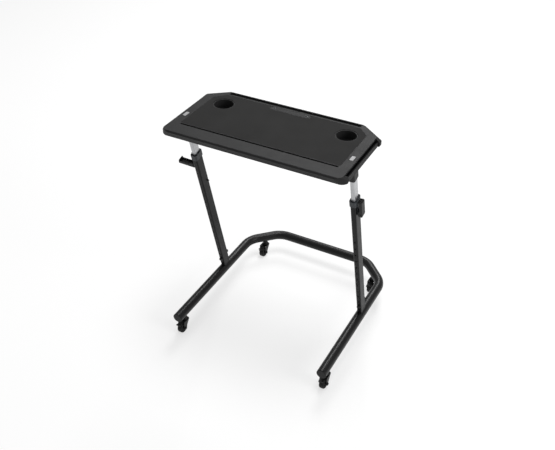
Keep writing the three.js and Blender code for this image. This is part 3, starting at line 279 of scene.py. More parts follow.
@dataclass(frozen=True)
class Finish:
    """A surface finish of one kind of piece.

    Attributes:
        name: The material's name.
        slot: The record's material slot; not used.
        colour: Linear base colour.
        roughness: Mean roughness.
        metallic: Metallic share.
        specular: Specular level.
        mottle: Share by which the colour drifts over the surface.
        patch: Drifts of the colour per metre.
        grain: Grains per metre.
        relief: Depth of the grain in metres.
        gloss_spread: Half the spread of the roughness.
        gloss_patch: Drifts of the roughness for each drift of the colour.
        grain_share: Share of the colour's change that follows the grain.
        band: Values of a noise between which the colour changes.
    """

    name: str
    slot: str
    colour: tuple[float, float, float]
    roughness: float
    metallic: float = 0.0
    specular: float = 0.5
    mottle: float = 0.1
    patch: float = 9.0
    grain: float = 900.0
    relief: float = 0.03 * MM
    gloss_spread: float = 0.06
    gloss_patch: float = 3.1
    grain_share: float = 0.3
    band: tuple[float, float] = (0.3, 0.7)

    def relief_signal(self, graph: ShaderGraph) -> Signal:
        """Returns the height of the grain."""
        return graph.noise(graph.place(), self.grain, 2.0)

    @cache
    def material(self) -> bpy.types.Material:
        """Builds the material once.

        Returns:
            The material.
        """
        graph = ShaderGraph(self.name)
        place = graph.place()
        drift = graph.noise(place, self.patch, 4.0).between(*self.band)
        height = self.relief_signal(graph)
        shade = drift * (1 - self.grain_share) + height.between(*self.band) * self.grain_share
        low = [channel * (1 - self.mottle) for channel in self.colour]
        high = [channel * (1 + self.mottle) for channel in self.colour]
        gloss = graph.noise(place, self.gloss_patch * self.patch, 3.0) * (2 * self.gloss_spread)
        shader = graph.add(
            "ShaderNodeBsdfPrincipled",
            base_color=graph.mix(shade, low, high),
            roughness=gloss + (self.roughness - self.gloss_spread),
            metallic=self.metallic,
            specular_ior_level=self.specular,
            normal=graph.bump(height, self.relief),
        )
        return graph.close(shader.outputs[0])


@dataclass(frozen=True)
class MouldedGrain(Finish):
    """Plastic or rubber with the pebbled grain of its mould.

    Attributes:
        pebble_share: Share of the pebbles in the relief, beside the finer noise over them.
        fineness: Cycles of the finer noise for each pebble.
    """

    pebble_share: float = 0.6
    fineness: float = 2.3

    def relief_signal(self, graph: ShaderGraph) -> Signal:
        """Returns pebbles with a finer noise over them.

        Args:
            graph: The graph to build in.

        Returns:
            The height.
        """
        place = graph.place()
        pebbles = graph.cells(place, self.grain)
        noise = graph.noise(place, self.fineness * self.grain, 2.0)
        return pebbles * self.pebble_share + noise * (1 - self.pebble_share)


@dataclass(frozen=True)
class DrawnMetal(Finish):
    """Metal with fine lines along a leg.

    Attributes:
        stretch: Scale of the noise across and along the lines.
    """

    stretch: tuple[float, float, float] = (1.0, 1.0, 0.01)

    def relief_signal(self, graph: ShaderGraph) -> Signal:
        """Returns lines that run along the leaning legs."""
        return graph.noise(graph.place(-LEG_LEAN, self.stretch), self.grain, 3.0)


POWDER_COAT = Finish(
    "black_powder_coat", "black_steel", (0.0092, 0.0092, 0.0095), 0.35, specular=0.215,
    mottle=0.16, grain=620.0, relief=0.04 * MM,
)
LEG_COAT = replace(POWDER_COAT, name="leg_satin_powder_coat", roughness=0.4, specular=0.14)
CASTER_COAT = Finish(
    "caster_black_coat", "caster_steel", (0.005, 0.005, 0.0052), 0.42, specular=0.25,
    mottle=0.2, patch=40.0, grain=800.0, relief=0.05 * MM,
)
FITTING_PLASTIC = MouldedGrain(
    "fitting_black_plastic", "black_plastic", (0.01, 0.01, 0.0104), 0.5, specular=0.25,
    patch=30.0, grain=1300.0, relief=0.06 * MM,
)
COLLAR_PLASTIC = MouldedGrain(
    "collar_grey_plastic", "black_plastic", (0.038, 0.042, 0.047), 0.45, specular=0.3,
    patch=30.0, grain=1300.0, relief=0.05 * MM,
)
TOP_PLASTIC = MouldedGrain(
    "desktop_grained_plastic", "top_plastic", (0.0188, 0.0188, 0.0191), 0.6, specular=0.18,
    mottle=0.12, patch=7.0, grain=1000.0, relief=0.1 * MM,
)
INSERT_PLASTIC = replace(
    TOP_PLASTIC, name="insert_grained_plastic", colour=(0.019, 0.019, 0.0193), specular=0.15,
)
# Lighter than the top's plastic as painted light: the paler grey stands in for light reaching the
# floors of the deep cup wells.
LIGHTENED_WELL_PLASTIC = MouldedGrain(
    "cup_well_plastic", "well_plastic", (0.024, 0.024, 0.0243), 0.6, specular=0.1,
    patch=30.0, grain=1300.0, relief=0.05 * MM,
)
MAT_RUBBER = MouldedGrain(
    "inlaid_mat_rubber", "mat_rubber", (0.021, 0.0208, 0.0206), 0.8, specular=0.1,
    mottle=0.09, patch=5.0, grain=1500.0, relief=0.04 * MM,
)
# Black rubber of the wheel treads. The same near-black also paints shade, as the sheet in the
# tablet groove and the bead in the gap round the mat.
TREAD_RUBBER_AND_SHADE = Finish(
    "wheel_rubber", "wheel_tread", (0.003, 0.003, 0.003), 0.62, specular=0.3,
    mottle=0.25, patch=60.0, grain=500.0, relief=0.12 * MM,
)
SILVER_TUBE = DrawnMetal(
    "silver_drawn_tube", "silver_tube", (0.47, 0.475, 0.485), 0.34, metallic=0.75,
    mottle=0.06, patch=14.0, grain=1800.0, relief=0.02 * MM,
)
ZINC = Finish(
    "zinc_plate", "zinc", (0.2, 0.2, 0.205), 0.36, metallic=0.9,
    mottle=0.2, patch=120.0, grain=1500.0, relief=0.02 * MM,
)
BLACK_ZINC = replace(
    ZINC, name="black_zinc_plate", colour=(0.016, 0.016, 0.0165), roughness=0.4, metallic=0.6,
)
BADGE_GREY = MouldedGrain(
    "badge_light_grey", "badge", (0.3, 0.3, 0.305), 0.5, specular=0.4,
    patch=40.0, grain=1800.0, relief=0.04 * MM,
)


# Mesh building


def piece(
    name: str, mesh: bpy.types.Mesh, finish: Finish, body: str, *nodes: str,
) -> bpy.types.Object:
    """Makes a finished piece that rides on a body.

    Args:
        name: The piece's name.
        mesh: Its mesh, placed in the frame.
        finish: Its finish.
        body: The body that it rides on.
        *nodes: Frame nodes that it stands for.

    Returns:
        The new object.
    """
    made = bpy.data.objects.new(name, mesh)
    bpy.context.scene.collection.objects.link(made)
    mesh.materials.clear()
    mesh.materials.append(finish.material())
    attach(made, body)
    if nodes:
        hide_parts(*nodes)
    return made


def carry(node: str, finish: Finish) -> None:
    """Gives a frame node a finish and leaves its shape as it is."""
    for place in bpy.data.objects[node].material_slots:
        place.material = finish.material()


def opened(mesh: bpy.types.Mesh) -> bmesh.types.BMesh:
    """Copies a mesh for work on its faces.

    Args:
        mesh: The mesh.

    Returns:
        The working form, which closed() ends.
    """
    form = bmesh.new()
    form.from_mesh(mesh)
    return form


def closed(form: bmesh.types.BMesh, mesh: bpy.types.Mesh) -> bpy.types.Mesh:
    """Writes a working form to a mesh and ends the form.

    Args:
        form: The working form.
        mesh: The mesh that takes it.

    Returns:
        The mesh.
    """
    form.to_mesh(mesh)
    form.free()
    return mesh


def freeze(made: bpy.types.Object) -> None:
    """Turns what an object's modifiers make into its plain mesh and removes them.

    Args:
        made: The object.
    """
    graph = bpy.context.evaluated_depsgraph_get()
    mesh = bpy.data.meshes.new_from_object(made.evaluated_get(graph), depsgraph=graph)
    made.modifiers.clear()
    made.data = mesh


def shade_smooth(mesh: bpy.types.Mesh) -> None:
    """Smooths a mesh except over its sharp edges."""
    mesh.shade_smooth()
    mesh.set_sharp_from_angle(angle=SMOOTH_ANGLE)


def soften(made: bpy.types.Object, width: float, steps: int = 3) -> None:
    """Rounds an object's edges and evens its shading.

    Args:
        made: The object.
        width: Width of the rounding in metres.
        steps: Faces across each rounding.
    """
    form = opened(made.data)
    large = [face for face in form.faces if len(face.verts) > MOST_CORNERS]
    bmesh.ops.triangulate(form, faces=large, quad_method="BEAUTY", ngon_method="BEAUTY")
    closed(form, made.data).shade_smooth()
    bevel = made.modifiers.new("rounding", "BEVEL")
    bevel.width = width
    bevel.segments = steps
    bevel.limit_method = "ANGLE"
    bevel.angle_limit = SMOOTH_ANGLE
    made.modifiers.new("shading", "WEIGHTED_NORMAL").keep_sharp = True
    freeze(made)


def clean_copy(node: str) -> bpy.types.Mesh:
    """Copies a frame node's mesh, with whole flat faces in place of its triangles.

    Triangles that look down stay, because the ribs under the top break up their plane.

    Args:
        node: The node's name.

    Returns:
        The new mesh.
    """
    form = opened(bpy.data.objects[node].data)
    bmesh.ops.remove_doubles(form, verts=form.verts, dist=WELD)
    edges = [
        edge for edge in form.edges
        if not all(face.normal.z < -LEVEL_FACE for face in edge.link_faces)
    ]
    bmesh.ops.dissolve_limit(form, angle_limit=FLAT_ANGLE, verts=form.verts, edges=edges)
    return closed(form, bpy.data.meshes.new(node + "_form"))


def upper_outline(node: str) -> list[Vector]:
    """Finds the points round the upper face of a frame node.

    Args:
        node: The node's name.

    Returns:
        The points, in order.
    """
    form = opened(bpy.data.objects[node].data)
    bmesh.ops.remove_doubles(form, verts=form.verts, dist=WELD)
    top = max(vertex.co.z for vertex in form.verts)
    links: dict[Any, list[Any]] = {}
    for edge in form.edges:
        level = all(abs(vertex.co.z - top) < LEVEL for vertex in edge.verts)
        if level and sum(face.normal.z > LEVEL_FACE for face in edge.link_faces) == 1:
            for vertex in edge.verts:
                links.setdefault(vertex, []).append(edge.other_vert(vertex))
    start = min(links, key=lambda vertex: vertex.co.x)
    loop = [start, links[start][0]]
    while loop[-1] is not start:
        loop.append(next(vertex for vertex in links[loop[-1]] if vertex is not loop[-2]))
    points = [vertex.co.copy() for vertex in loop[:-1]]
    form.free()
    return points


def lathe(
    name: str, profile: Sequence[tuple[float, float]], turn: Matrix, sides: int = 64,
) -> bpy.types.Mesh:
    """Revolves a profile about Z and then places it.

    Args:
        name: The mesh's name.
        profile: Pairs of radius and height, from one end of the outline to the other.
        turn: Matrix that places the revolved form.
        sides: Faces round the axis.

    Returns:
        The new mesh.
    """
    form = bmesh.new()
    angles = [2 * math.pi * k / sides for k in range(sides)]
    rings = []
    for radius, height in profile:
        if radius == 0:
            rings.append([form.verts.new((0, 0, height))] * sides)
            continue
        rings.append([
            form.verts.new((radius * math.cos(angle), radius * math.sin(angle), height))
            for angle in angles
        ])
    for low, high in zip(rings, rings[1:]):
        for k in range(sides):
            after = (k + 1) % sides
            corners = list(dict.fromkeys([low[k], low[after], high[after], high[k]]))
            if len(corners) > 2:
                form.faces.new(corners)
    bmesh.ops.remove_doubles(form, verts=form.verts, dist=WELD)
    bmesh.ops.recalc_face_normals(form, faces=form.faces)
    form.transform(turn)
    mesh = closed(form, bpy.data.meshes.new(name))
    shade_smooth(mesh)
    return mesh


def rounded(
    profile: Sequence[tuple[float, float]], radius: float, steps: int = 4, most: float = 0.45,
) -> list[tuple[float, float]]:
    """Rounds the inner corners of an open profile.

    Args:
        profile: Points of the profile.
        radius: Radius of the rounding.
        steps: Points added at each corner.
        most: Share of a side beside it that a rounding may take up.

    Returns:
        The rounded profile.
    """
    points = [Vector(point) for point in profile]
    made = [points[0]]
    for before, corner, after in zip(points, points[1:], points[2:]):
        reach = min(radius, most * (before - corner).length, most * (after - corner).length)
        start = corner + (before - corner).normalized() * reach
        end = corner + (after - corner).normalized() * reach
        for k in range(steps + 1):
            share = k / steps
            made.append(start.lerp(corner, share).lerp(corner.lerp(end, share), share))
    made.append(points[-1])
    return [(point.x, point.y) for point in made]


def facing(place: Vector, outward: Vector) -> Matrix:
    """Returns the matrix that stands a turned form at a place with its Z axis outward."""
    return Matrix.Translation(place) @ outward.to_track_quat("Z", "Y").to_matrix().to_4x4()


@dataclass(frozen=True)
class ScrewHead:
    """A domed screw head with a socket.

    Attributes:
        radius: The head's radius.
        height: The head's height.
        sunk: How far the head reaches into what it sits on.
        edge: Rounding of its edges.
        sides: Faces round it.
        outline: Shares of the radius and the height, from the rim to the floor of the socket.
    """

    radius: float
    height: float
    sunk: float = 0.6 * MM
    edge: float = 0.3 * MM
    sides: int = 32
    outline: tuple[tuple[float, float], ...] = (
        (1, 0.3), (0.8, 0.8), (0.5, 1), (0.46, 0.35), (0, 0.3),
    )

    def build(self, name: str, body: str, turn: Matrix) -> str:
        """Builds the head.

        Args:
            name: The piece's name.
            body: The body that it rides on.
            turn: Matrix that stands it on its surface.

        Returns:
            The piece's name.
        """
        outline = [(0, -self.sunk), (self.radius, -self.sunk)]
        outline += [(reach * self.radius, rise * self.height) for reach, rise in self.outline]
        mesh = lathe(name + "_mesh", rounded(outline, self.edge), turn, self.sides)
        return piece(name, mesh, BLACK_ZINC, body).name


# Geometry node forms


class NodeForm(NodeTree):
    """A geometry node tree with named inputs that is applied to a mesh and then frozen."""

    def __init__(self, name: str) -> None:
        """Starts a tree with a geometry input, a geometry output and a material input.

        Args:
            name: The tree's name.
        """
        super().__init__(bpy.data.node_groups.new(name, "GeometryNodeTree"))
        self.identifiers: dict[str, str] = {}
        kind = "NodeSocketGeometry"
        self.tree.interface.new_socket("Geometry", in_out="OUTPUT", socket_type=kind)
        self.add_input("Geometry", kind)
        self.add_input("Material", "NodeSocketMaterial")
        self.source = self.add("NodeGroupInput")

    def add_input(self, name: str, kind: str, default: Any = None) -> None:
        """Adds a named input.

        Args:
            name: The input's name.
            kind: Its socket type.
            default: Its first value.
        """
        socket = self.tree.interface.new_socket(name, in_out="INPUT", socket_type=kind)
        if default is not None:
            socket.default_value = default
        self.identifiers[name] = socket.identifier

    def named(self, name: str) -> bpy.types.NodeSocket:
        """Returns the socket of a named input inside the tree."""
        return self.source.outputs[name]

    def close(self, geometry: bpy.types.NodeSocket) -> None:
        """Smooths the result, makes it real, gives it its material and ends the tree.

        Args:
            geometry: The output to finish.
        """
        smooth = self.add("GeometryNodeSetShadeSmooth", geometry=geometry)
        real = self.add("GeometryNodeRealizeInstances", geometry=smooth.outputs[0])
        material = self.named("Material")
        painted = self.add("GeometryNodeSetMaterial", geometry=real.outputs[0], material=material)
        self.add("NodeGroupOutput", geometry=painted.outputs[0])

    def apply(self, made: bpy.types.Object, finish: Finish, **values: Any) -> None:
        """Runs the tree on an object and keeps the result as its mesh.

        Args:
            made: The object.
            finish: The finish whose material the tree sets.
            **values: Inputs by name.
        """
        modifier = made.modifiers.new(self.tree.name, "NODES")
        modifier.node_group = self.tree
        modifier[self.identifiers["Material"]] = finish.material()
        for name, value in values.items():
            modifier[self.identifiers[name]] = value
        made.update_tag()
        freeze(made)


def swept_tube_form() -> NodeForm:
    """Builds the tree that sweeps a round section along a path of edges.

    Returns:
        The tree, with its radius and number of sides as inputs.
    """
    form = NodeForm("swept_tube")
    form.add_input("Radius", "NodeSocketFloat", 20 * MM)
    form.add_input("Sides", "NodeSocketInt", ROUND_SIDES)
    path = form.add("GeometryNodeMeshToCurve", mesh=form.named("Geometry"))
    section = form.add(
        "GeometryNodeCurvePrimitiveCircle", {"mode": "RADIUS"},
        radius=form.named("Radius"), resolution=form.named("Sides"),
    )
    swept = form.add(
        "GeometryNodeCurveToMesh",
        curve=path.outputs[0], profile_curve=section.outputs[0], fill_caps=True,
    )
    form.close(swept.outputs[0])
    return form


def round_axle_form() -> NodeForm:
    """Builds the tree that repeats a piece round an axle along X.

    Returns:
        The tree, with the number of copies, the angle between them and the axle's place as inputs.
    """
    form = NodeForm("repeat_round_axle")
    form.add_input("Count", "NodeSocketInt", 6)
    form.add_input("Step", "NodeSocketFloat", 1.0)
    form.add_input("Centre", "NodeSocketVector")
    places = form.add(
        "GeometryNodeMeshLine", {"mode": "OFFSET"}, count=form.named("Count"), offset=(0, 0, 0),
    )
    angle = Signal(form, form.add("GeometryNodeInputIndex").outputs[0]) * form.named("Step")
    turn = form.add("ShaderNodeCombineXYZ", x=angle)
    rotation = form.add("FunctionNodeEulerToRotation", euler=turn.outputs[0])
    copies = form.add(
        "GeometryNodeInstanceOnPoints",
        points=places.outputs[0], instance=form.named("Geometry"), rotation=rotation.outputs[0],
    )
    placed = form.add(
        "GeometryNodeTransform", geometry=copies.outputs[0], translation=form.named("Centre"),
    )
    form.close(placed.outputs[0])
    return form


@dataclass(frozen=True)
class Bar:
    """A round bar that is swept along a path.

    Attributes:
        name: The piece's name.
        radius: The bar's radius.
        finish: Its finish.
        body: The body that it rides on.
        nodes: Frame nodes that it stands for.
    """

    name: str
    radius: float
    finish: Finish
    body: str
    nodes: tuple[str, ...] = ()

    def build(self, form: NodeForm, points: Sequence[Vector]) -> str:
        """Builds the bar.

        Args:
            form: The sweeping node tree.
            points: The path.

        Returns:
            The piece's name.
        """
        mesh = bpy.data.meshes.new(self.name)
        mesh.from_pydata(points, [(k, k + 1) for k in range(len(points) - 1)], [])
        made = piece(self.name, mesh, self.finish, self.body, *self.nodes)
        sides = ROUND_SIDES if self.radius > FINE_BAR else FINE_SIDES
        form.apply(made, self.finish, Radius=self.radius, Sides=sides)
        shade_smooth(made.data)
        return self.name


# Sub-assemblies


@dataclass(frozen=True)
class SoftNode:
    """A frame node redrawn with rounded edges and even shading.

    Attributes:
        node: The node's name.
        body: The body that it rides on.
        finish: Its finish.
        edge: Greatest width of the edge rounding.
    """

    node: str
    body: str
    finish: Finish
    edge: float

    def form(self) -> bpy.types.Mesh:
        """Returns the node's form before its edges are rounded."""
        return clean_copy(self.node)

    def build(self) -> str:
        """Builds the piece, which stands for its node.

        Returns:
            The piece's name.
        """
        made = piece(self.node + "_finished", self.form(), self.finish, self.body, self.node)
        soften(made, self.edge)
        return made.name


@dataclass(frozen=True)
class CornerLevel:
    """One level of the top's outline at its front corners.

    Attributes:
        depth: Depth below the surface.
        side: Inset from the sides.
        front: Inset of the frame's form from the front.
        drawn_front: Inset of the finished form from the front.
        radius: Radius of the finished corner.
    """

    depth: float
    side: float
    front: float
    drawn_front: float
    radius: float


@dataclass(frozen=True)
class TopMoulding(SoftNode):
    """The moulded top, with the crisp front corners and front rim of the finished moulding.

    Attributes:
        corner_radius: Radius of the frame's front corners.
        corner_span: Angles in degrees between which a point belongs to a corner.
        shell: Wall thickness that moves with them.
        grip_depth: Depth of the side grips' lips in the frame's form.
        grip_slack: How much higher or lower a point of the lips may be.
        grip_width: Width of the zone that holds them.
        grip_lift: Height by which the finished lips stand above it.
        grip_slope: Slope of the finished lips.
        trough_depth: Depth of the rear trough in the frame's form.
        trough_slack: How much higher or lower a point of its floor may be.
        trough_reach: Distance from the rear edge within which it lies.
        trough_lift: Height by which its finished floor stands above it.
        levels: The outline's levels, from the surface down.
    """

    corner_radius: float = 43 * MM
    corner_span: tuple[float, float] = (9, 81)
    shell: float = 6 * MM
    grip_depth: float = 27 * MM
    grip_slack: float = 0.3 * MM
    grip_width: float = 15 * MM
    grip_lift: float = 14 * MM
    grip_slope: float = 0.155
    trough_depth: float = 12 * MM
    trough_slack: float = 0.05 * MM
    trough_reach: float = 45 * MM
    trough_lift: float = 4.5 * MM
    levels: tuple[CornerLevel, ...] = (
        CornerLevel(0 * MM, 17 * MM, 7 * MM, 4.6 * MM, 21 * MM),
        CornerLevel(2.3 * MM, 15 * MM, 1.75 * MM, 1.9 * MM, 29 * MM),
        CornerLevel(7 * MM, 8.5 * MM, 0 * MM, 0 * MM, 42 * MM),
        CornerLevel(16 * MM, 0 * MM, 6 * MM, 6 * MM, 43 * MM),
        CornerLevel(32 * MM, 0 * MM, 12 * MM, 12 * MM, 33 * MM),
    )

    def level(self, depth: float) -> CornerLevel:
        """Finds the outline's values at a depth, between the two levels next to it.

        Args:
            depth: Depth below the surface.

        Returns:
            The values.
        """
        pairs = zip(self.levels, self.levels[1:])
        upper, lower = next((pair for pair in pairs if depth <= pair[1].depth), self.levels[-2:])
        share = min(max((depth - upper.depth) / (lower.depth - upper.depth), 0.0), 1.0)
        ends = vars(lower)
        return CornerLevel(**{
            key: start + share * (ends[key] - start) for key, start in vars(upper).items()
        })

    def form(self) -> bpy.types.Mesh:
        """Redraws the top's front corners, front rim, grip lips and trough floor.

        Returns:
            The form before its edges are rounded.
        """
        mesh = clean_copy(self.node)
        low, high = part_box(self.node)
        middle = (low.x + high.x) / 2
        reach = self.corner_radius
        first, last = self.corner_span
        for vertex in mesh.vertices:
            inset = (high.x - low.x) / 2 - abs(vertex.co.x - middle)
            in_grip = abs(high.z - vertex.co.z - self.grip_depth) < self.grip_slack
            if in_grip and inset < self.grip_width:
                vertex.co.z += self.grip_lift + inset * self.grip_slope
            in_trough = abs(high.z - vertex.co.z - self.trough_depth) < self.trough_slack
            if in_trough and high.y - vertex.co.y < self.trough_reach:
                vertex.co.z += self.trough_lift
            level = self.level(high.z - vertex.co.z)
            side = low.x + level.side if vertex.co.x < middle else high.x - level.side
            corner = Vector((side, low.y + level.front))
            offset = Vector((reach - abs(vertex.co.x - corner.x), reach + corner.y - vertex.co.y))
            fade = min(max(offset.y / reach, 0.0), 1.0)
            angle = math.degrees(math.atan2(offset.y, offset.x))
            if first < angle < last and offset.length > reach - self.shell:
                vertex.co.xy = corner + (vertex.co.xy - corner) * level.radius / reach
            vertex.co.y += fade * (level.drawn_front - level.front)
        return mesh


@dataclass(frozen=True)
class BaseFrame:
    """The bent tube base.

    Attributes:
        corner_chamfer: How far each rear corner is cut off along X and along Y.
        bend_radius: Radius of the tube's centre line in each bend.
        bend_steps: Path edges in each bend.
        path_step: Greatest length of a straight path edge.
        seam_gap: Gap between an arm and the rear tube.
        cap_edge: Slope at the end caps' rims.
        cap_flange: Thickness of their flanges.
        cap_dome: How far their faces stand out.
        cap_crown: Shares of the radius and the dome at a point between a face's middle and its rim.
        cap_step: How much narrower the plugs behind the flanges are.
        cap_round: Rounding of the caps' edges.
        screw_from_seam: Distance of each seam screw from its seam.
        screw: The seam screws' head.
    """

    corner_chamfer: float = 116 * MM
    bend_radius: float = 100 * MM
    bend_steps: int = 14
    path_step: float = 60 * MM
    seam_gap: float = 0.3 * MM
    cap_edge: float = 1.6 * MM
    cap_flange: float = 3 * MM
    cap_dome: float = 0.5 * MM
    cap_crown: tuple[float, float] = (0.7, 0.25)
    cap_step: float = 2.5 * MM
    cap_round: float = 1.2 * MM
    screw_from_seam: float = 14.6 * MM
    screw: ScrewHead = ScrewHead(4.4 * MM, 2.6 * MM)

    def bent_path(self, corners: Sequence[Vector]) -> list[Vector]:
        """Gives a path with round bends at its inner corners.

        Args:
            corners: Points of the straight-sided path.

        Returns:
            The path's points.
        """
        points = [corners[0]]
        for before, corner, after in zip(corners, corners[1:], corners[2:]):
            into = (corner - before).normalized()
            out = (after - corner).normalized()
            turn = into.angle(out)
            start = corner - into * self.bend_radius * math.tan(turn / 2)
            side = (out - into * math.cos(turn)).normalized()
            centre = start + side * self.bend_radius
            for k in range(self.bend_steps + 1):
                angle = turn * k / self.bend_steps
                reach = into * math.sin(angle) - side * math.cos(angle)
                points.append(centre + reach * self.bend_radius)
        points.append(corners[-1])
        return self.divided(points)

    def divided(self, points: Sequence[Vector]) -> list[Vector]:
        """Cuts a path's long edges into short ones.

        Args:
            points: The path's points.

        Returns:
            The longer list of points.
        """
        made = [points[0]]
        for start, end in zip(points, points[1:]):
            count = max(1, math.ceil((end - start).length / self.path_step))
            made.extend(start.lerp(end, (k + 1) / count) for k in range(count))
        return made

    def build(self, form: NodeForm) -> list[str]:
        """Builds the tubes, the caps and the seam screws.

        Args:
            form: The node tree that sweeps a bar along a path.

        Returns:
            The pieces' names.
        """
        low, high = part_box("rear_base_tube")
        radius = (high.z - low.z) / 2
        height = (high.z + low.z) / 2
        left, right, rear = low.x + radius, high.x - radius, high.y - radius
        corners = [
            (left, low.y),
            (left, rear - self.corner_chamfer),
            (left + self.corner_chamfer, rear),
            (right - self.corner_chamfer, rear),
            (right, rear - self.corner_chamfer),
            (right, low.y),
        ]
        path = self.bent_path([Vector((x, y, height)) for x, y in corners])
        rear_tube = Bar("rear_tube", radius, POWDER_COAT, "base", ("rear_base_tube",))
        names = [rear_tube.build(form, path)]
        for side, x in ((Side.LEFT, left), (Side.RIGHT, right)):
            node = side.value + "_base_arm"
            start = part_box(node)[0].y
            ends = [Vector((x, start, height)), Vector((x, low.y - self.seam_gap, height))]
            arm = Bar(side.value + "_arm_tube", radius, POWDER_COAT, "base", (node,))
            names.append(arm.build(form, self.divided(ends)))
            names.append(self.end_cap(side, x, height, radius))
            outward = Vector((-side.sign, 0, 1)).normalized()
            centre = Vector((x, low.y - self.screw_from_seam, height))
            turn = facing(centre + outward * radius, outward)
            names.append(self.screw.build(side.value + "_seam_screw", "base", turn))
        return names

    def end_cap(self, side: Side, x: float, height: float, radius: float) -> str:
        """Builds the plug in an arm's open end.

        Args:
            side: The arm's side.
            x: The arm's place along X.
            height: The arm's height.
            radius: The arm's outer radius.

        Returns:
            The piece's name.
        """
        node = side.value + "_arm_end_cap"
        low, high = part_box(node)
        length = high.y - low.y
        plug = radius - self.cap_step
        crown, sag = self.cap_crown
        outline = [
            (0, 0), (crown * radius, sag * self.cap_dome), (radius - self.cap_edge, self.cap_dome),
            (radius, self.cap_dome + self.cap_edge), (radius, self.cap_flange),
            (plug, self.cap_flange), (plug, length), (0, length),
        ]
        turn = Matrix.Translation((x, low.y, height)) @ Matrix.Rotation(-math.pi / 2, 4, "X")
        mesh = lathe(node + "_mesh", rounded(outline, self.cap_round), turn)
        return piece(side.value + "_end_plug", mesh, FITTING_PLASTIC, "base", node).name


@dataclass(frozen=True)
class Caster:
    """One swivel caster: wheel and bearing are drawn anew, the rest has its edges rounded.

    Attributes:
        corner: Which caster it is.
        bore_radius: Radius of the wheel's bore.
        hub_radius: Radius of its hub.
        web_depth: Depth of the recess in each of its faces.
        shoulder: Insets from the tread and from the face, from the recess out to the tread.
        wheel_round: Rounding of its edges.
        wheel_sides: Faces round it.
        ribs: Ribs across each recess.
        rib_inset: How far the ribs stay below the faces.
        rib_width: Their thickness.
        rib_overlap: How much longer they are than the recess is wide.
        rib_round: Rounding of their edges.
        seat_gap: Gap between the fork and the bearing.
        bearing_height: Height of the bearing.
        bearing_slope: Slope at its upper edge.
        neck_radius: Radius of the neck above it.
        neck_height: Height of the neck's end above the fork.
        pin_radius: Radius of the kingpin.
        pin_head: Radius and height of its head.
        bearing_round: Rounding of the edges of bearing, neck and kingpin.
        bearing_sides: Faces round them.
    """

    corner: Corner
    bore_radius: float = 4.5 * MM
    hub_radius: float = 10 * MM
    web_depth: float = 3 * MM
    shoulder: tuple[tuple[float, float], ...] = (
        (6 * MM, 0.6 * MM), (4 * MM, 0 * MM), (1.2 * MM, 2.2 * MM), (0 * MM, 5 * MM),
    )
    wheel_round: float = 1.0 * MM
    wheel_sides: int = 72
    ribs: int = 6
    rib_inset: float = 0.8 * MM
    rib_width: float = 1.8 * MM
    rib_overlap: float = 1.0 * MM
    rib_round: float = 0.5 * MM
    seat_gap: float = 0.3 * MM
    bearing_height: float = 7 * MM
    bearing_slope: float = 3.5 * MM
    neck_radius: float = 11 * MM
    neck_height: float = 26 * MM
    pin_radius: float = 4 * MM
    pin_head: tuple[float, float] = (7 * MM, 3 * MM)
    bearing_round: float = 0.6 * MM
    bearing_sides: int = 48

    def wheel(self, form: NodeForm) -> list[str]:
        """Builds the wheel with its hub and recesses, and the ribs across them.

        Args:
            form: The node tree that repeats a rib round the axle.

        Returns:
            The pieces' names.
        """
        node = self.corner.value + "_caster_wheel"
        body = self.corner.value + "_wheel"
        low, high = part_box(node)
        centre = (low + high) / 2
        radius = (high.z - low.z) / 2
        half = (high.x - low.x) / 2
        web = half - self.web_depth
        rim = radius - self.shoulder[0][0]
        hub = self.hub_radius
        right = [(self.bore_radius, half), (hub, half), (hub, web), (rim, web)]
        right += [(radius - inset, half - drop) for inset, drop in self.shoulder]
        left = [(reach, -place) for reach, place in reversed(right)]
        outline = rounded(right + [(radius, 0)] + left, self.wheel_round) + right[:1]
        turn = Matrix.Translation(centre) @ Matrix.Rotation(math.pi / 2, 4, "Y")
        mesh = lathe(node + "_mesh", outline, turn, self.wheel_sides)
        made = piece(node + "_turned", mesh, TREAD_RUBBER_AND_SHADE, body, node)
        return [made.name, self.wheel_ribs(form, body, centre, half, rim)]

    def wheel_ribs(self, form: NodeForm, body: str, centre: Vector, half: float, rim: float) -> str:
        """Builds the ribs in both faces of the wheel.

        Args:
            form: The node tree that repeats a rib round the axle.
            body: The wheel's body.
            centre: The wheel's middle.
            half: Half the wheel's width.
            rim: Outer radius of the recesses.

        Returns:
            The piece's name.
        """
        rib = bmesh.new()
        bmesh.ops.create_cube(rib, size=1.0)
        length = rim - self.hub_radius + self.rib_overlap
        size = Matrix.Diagonal((2 * (half - self.rib_inset), self.rib_width, length, 1.0))
        rib.transform(Matrix.Translation((0, 0, (rim + self.hub_radius) / 2)) @ size)
        edges = list(rib.edges)
        bmesh.ops.bevel(
            rib, geom=edges, offset=self.rib_round, segments=2, profile=0.5, affect="EDGES",
        )
        mesh = closed(rib, bpy.data.meshes.new(body + "_rib_mesh"))
        made = piece(body + "_ribs", mesh, FITTING_PLASTIC, body)
        step = 2 * math.pi / self.ribs
        form.apply(made, FITTING_PLASTIC, Count=self.ribs, Step=step, Centre=centre)
        return made.name

    def mount(self) -> str:
        """Builds the fixed bearing with its neck and kingpin.

        Returns:
            The piece's name.
        """
        node = self.corner.value + "_caster_mount"
        low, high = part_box(node)
        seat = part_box(self.corner.value + "_caster_fork")[1].z + self.seat_gap
        radius = (high.x - low.x) / 2
        top = seat + self.bearing_height
        end = seat + self.neck_height
        head_radius, head_height = self.pin_head
        shelf = low.z + head_height
        outline = [
            (0, low.z), (head_radius, low.z), (head_radius, shelf), (self.pin_radius, shelf),
            (self.pin_radius, seat), (radius, seat), (radius, top - self.bearing_slope),
            (radius - self.bearing_slope, top), (self.neck_radius, top), (self.neck_radius, end),
            (0, end),
        ]
        turn = Matrix.Translation(((low.x + high.x) / 2, (low.y + high.y) / 2, 0))
        mesh = lathe(node + "_mesh", rounded(outline, self.bearing_round), turn, self.bearing_sides)
        return piece(node + "_turned", mesh, CASTER_COAT, "base", node).name

